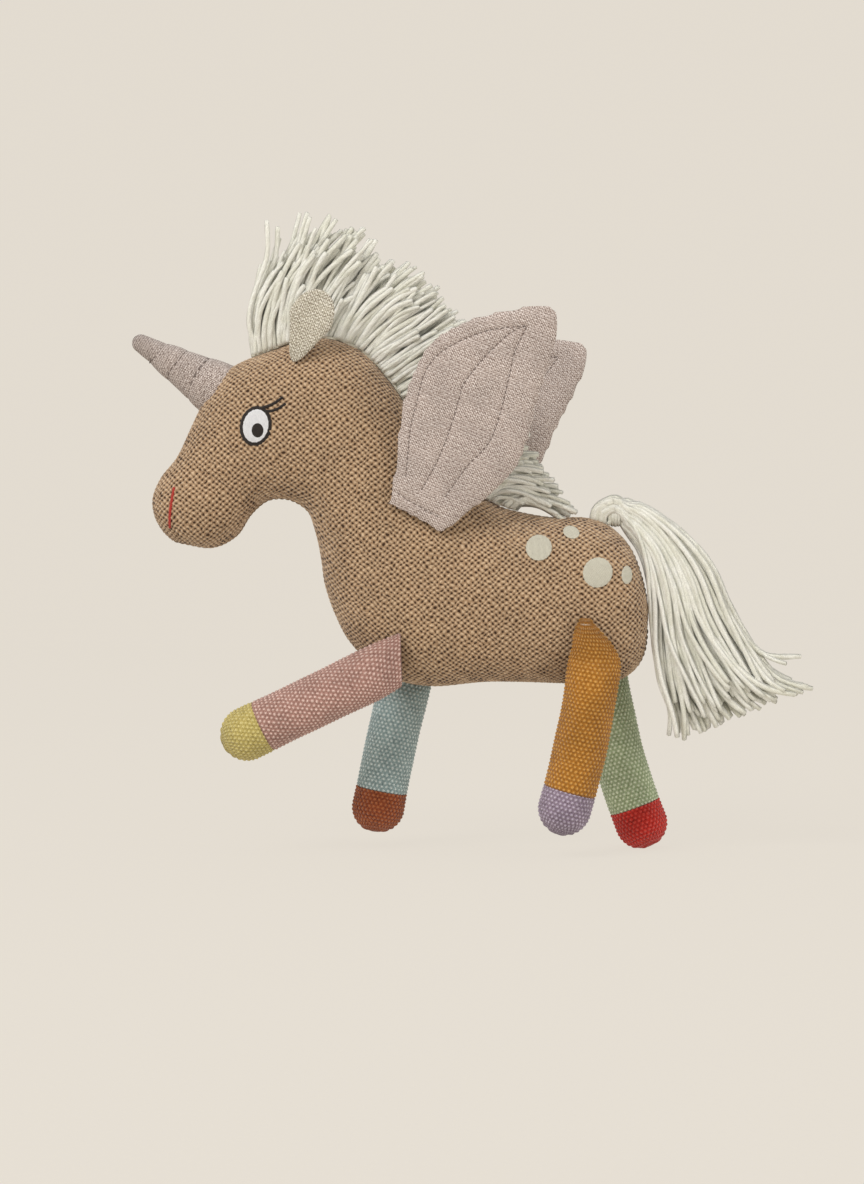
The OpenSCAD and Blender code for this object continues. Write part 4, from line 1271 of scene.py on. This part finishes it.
def tail_strand(p, q, end, wave, loose):
    """One strand of the tail: p across its side view, q across its width, both from 0 to 1."""
    rows = TAIL
    inner, outer = rows[:, :2].copy(), rows[:, 2:4]
    # At the rump the inner strands in the middle hug the body instead of hanging clear of it.
    inner[:, 0] -= np.array([6, 7, 7.5, 6.5, 6.5, 5, 0, -2]) * (1 - 0.9 * abs(2 * q - 1) ** 1.5)
    down = np.linspace(0, 1, len(rows))
    share = (p + wave[0] * np.sin(down * wave[1] + wave[2]) + loose[0] * down ** 2)[:, None]
    flat = inner * (1 - share) + outer * share + TAIL_START[[0, 2]]
    y = (q - 0.5) * 2 * TAIL_HALF * rows[:, 4] * (1 + 0.1 * np.sin(np.arange(len(rows)) + wave[2]))
    y = y + loose[1] * down ** 2
    # The yarn is sewn down in front of its knot and arches over it.
    first = np.array([
        [KNOT[0] - 7 - 7 * p, KNOT[2] - 4.5 + 1.5 * p],
        [KNOT[0] - 6 - 6 * p, KNOT[2] + 0.5 + 4.5 * p],
        [KNOT[0] + 0.5 - 1.5 * p, KNOT[2] + 3 + 8.0 * p],
    ])
    flat = np.vstack([first, flat])
    y = np.concatenate([[(q - 0.5) * 9, (q - 0.5) * 11, (q - 0.5) * 14], y])
    line = smooth_line(np.column_stack([flat[:, 0], y, flat[:, 1]]), 90, 90)
    return line[:int(90 * end)]


def split_at_knot(line):
    """The strand's sewn-down start, up to the top of the knot, and the rest, which makes the hanging tail."""
    cut = int(np.argmax(line[:, 0] > KNOT[0]))
    return resample(line[:cut + 2], 9), resample(line[cut - 1:], 36)


def tail_yarn(parts, line, radius, number):
    parts.append(tube(line, radius, STRAND_SIDES, flat=rng.uniform(0.9, 1.12), twist=0.16, lobes=0.07,
                      number=number, start=rng.uniform(0, TAU)))


anchored = []
for name, low_p, high_p in (("lower", 0, 0.33), ("middle", 0.33, 0.67), ("upper", 0.67, 1.02)):
    parts, lines = [], []
    count = 74
    for k in range(count):
        p = low_p + (high_p - low_p) * rng.uniform(0, 1)
        q = (k + rng.uniform(0.2, 0.8)) / count
        # Neighbouring strands bunch together, and their cut ends spread.
        wave = (0.05 + 0.04 * math.sin(p * 21 + q * 9), 5.2 + math.sin(p * 13), 5 * math.sin(p * 7 + q * 5)
                + rng.uniform(0, 1.2))
        end = rng.uniform(0.84, 1.0)
        lines.append(tail_strand(p, q, end, wave, (rng.normal(0, 0.09), rng.normal(0, 2.5))))
    if name == "lower":
        # One strand hangs by itself behind the rump.
        stray = TAIL_START + np.array([[-12, -3, -5], [-6, -5, 1], [4, -7, -7], [11, -9, -28], [13, -9, -52],
                                       [15, -10, -76], [19, -10, -100], [27, -10, -119]], float)
        lines.append(smooth_line(stray, 90))
    if name == "upper":
        # Two loose ends stick out past the others.
        for end in ([94, -6, -88], [103, 4, -84]):
            stray = TAIL_START + np.array([[-15, 0, -3], [-8, 0, 5], [0, 0, 9], [26, 1, -8], [47, 2, -37],
                                           [64, 0, -64], [80, -2, -82], end], float)
            lines.append(smooth_line(stray, 90))
    for line in lines:
        radius, number = rng.uniform(1.4, 1.9), rng.uniform(0, 1)
        sewn, free = split_at_knot(line)
        tail_yarn(anchored, sewn, radius, number)
        tail_yarn(parts, free, strand_radius(len(free), radius), number)
    piece = add_piece(f"tail_{name}_yarn", join(parts), yarn, None, "strand")
    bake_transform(piece)
    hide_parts(f"tail_{name}_lock")
add_piece("tail_sewn_yarn", join(anchored), yarn, "torso", "strand")

parts = []
for k in range(7):
    a = np.linspace(0, TAU, 33)
    offset = (k - 3) * 1.75
    r = math.sqrt(max(6.2 ** 2 - offset ** 2, 4.0)) - 0.6
    wrap = KNOT + np.stack([offset + 0.3 * np.sin(a), r * np.cos(a), r * np.sin(a)], 1)
    parts.append(tube(wrap, 1.15, 8, number=0.4))
piece = add_piece("tail_knot_wraps", join(parts), yarn, "tail_root", "strand")
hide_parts("tail_knot")

# ---- Materials of the CAD nodes that stay ----

for node_name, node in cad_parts.items():
    if node.hide_render:
        continue
    material = fill
    if node_name == "mane_tape":
        material = tape
    for material_slot in node.material_slots:
        material_slot.material = material
    print("CAD node kept:", node_name, len(node.material_slots))

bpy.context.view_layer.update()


def plain(box):
    return [[float(x) for x in corner] for corner in box]
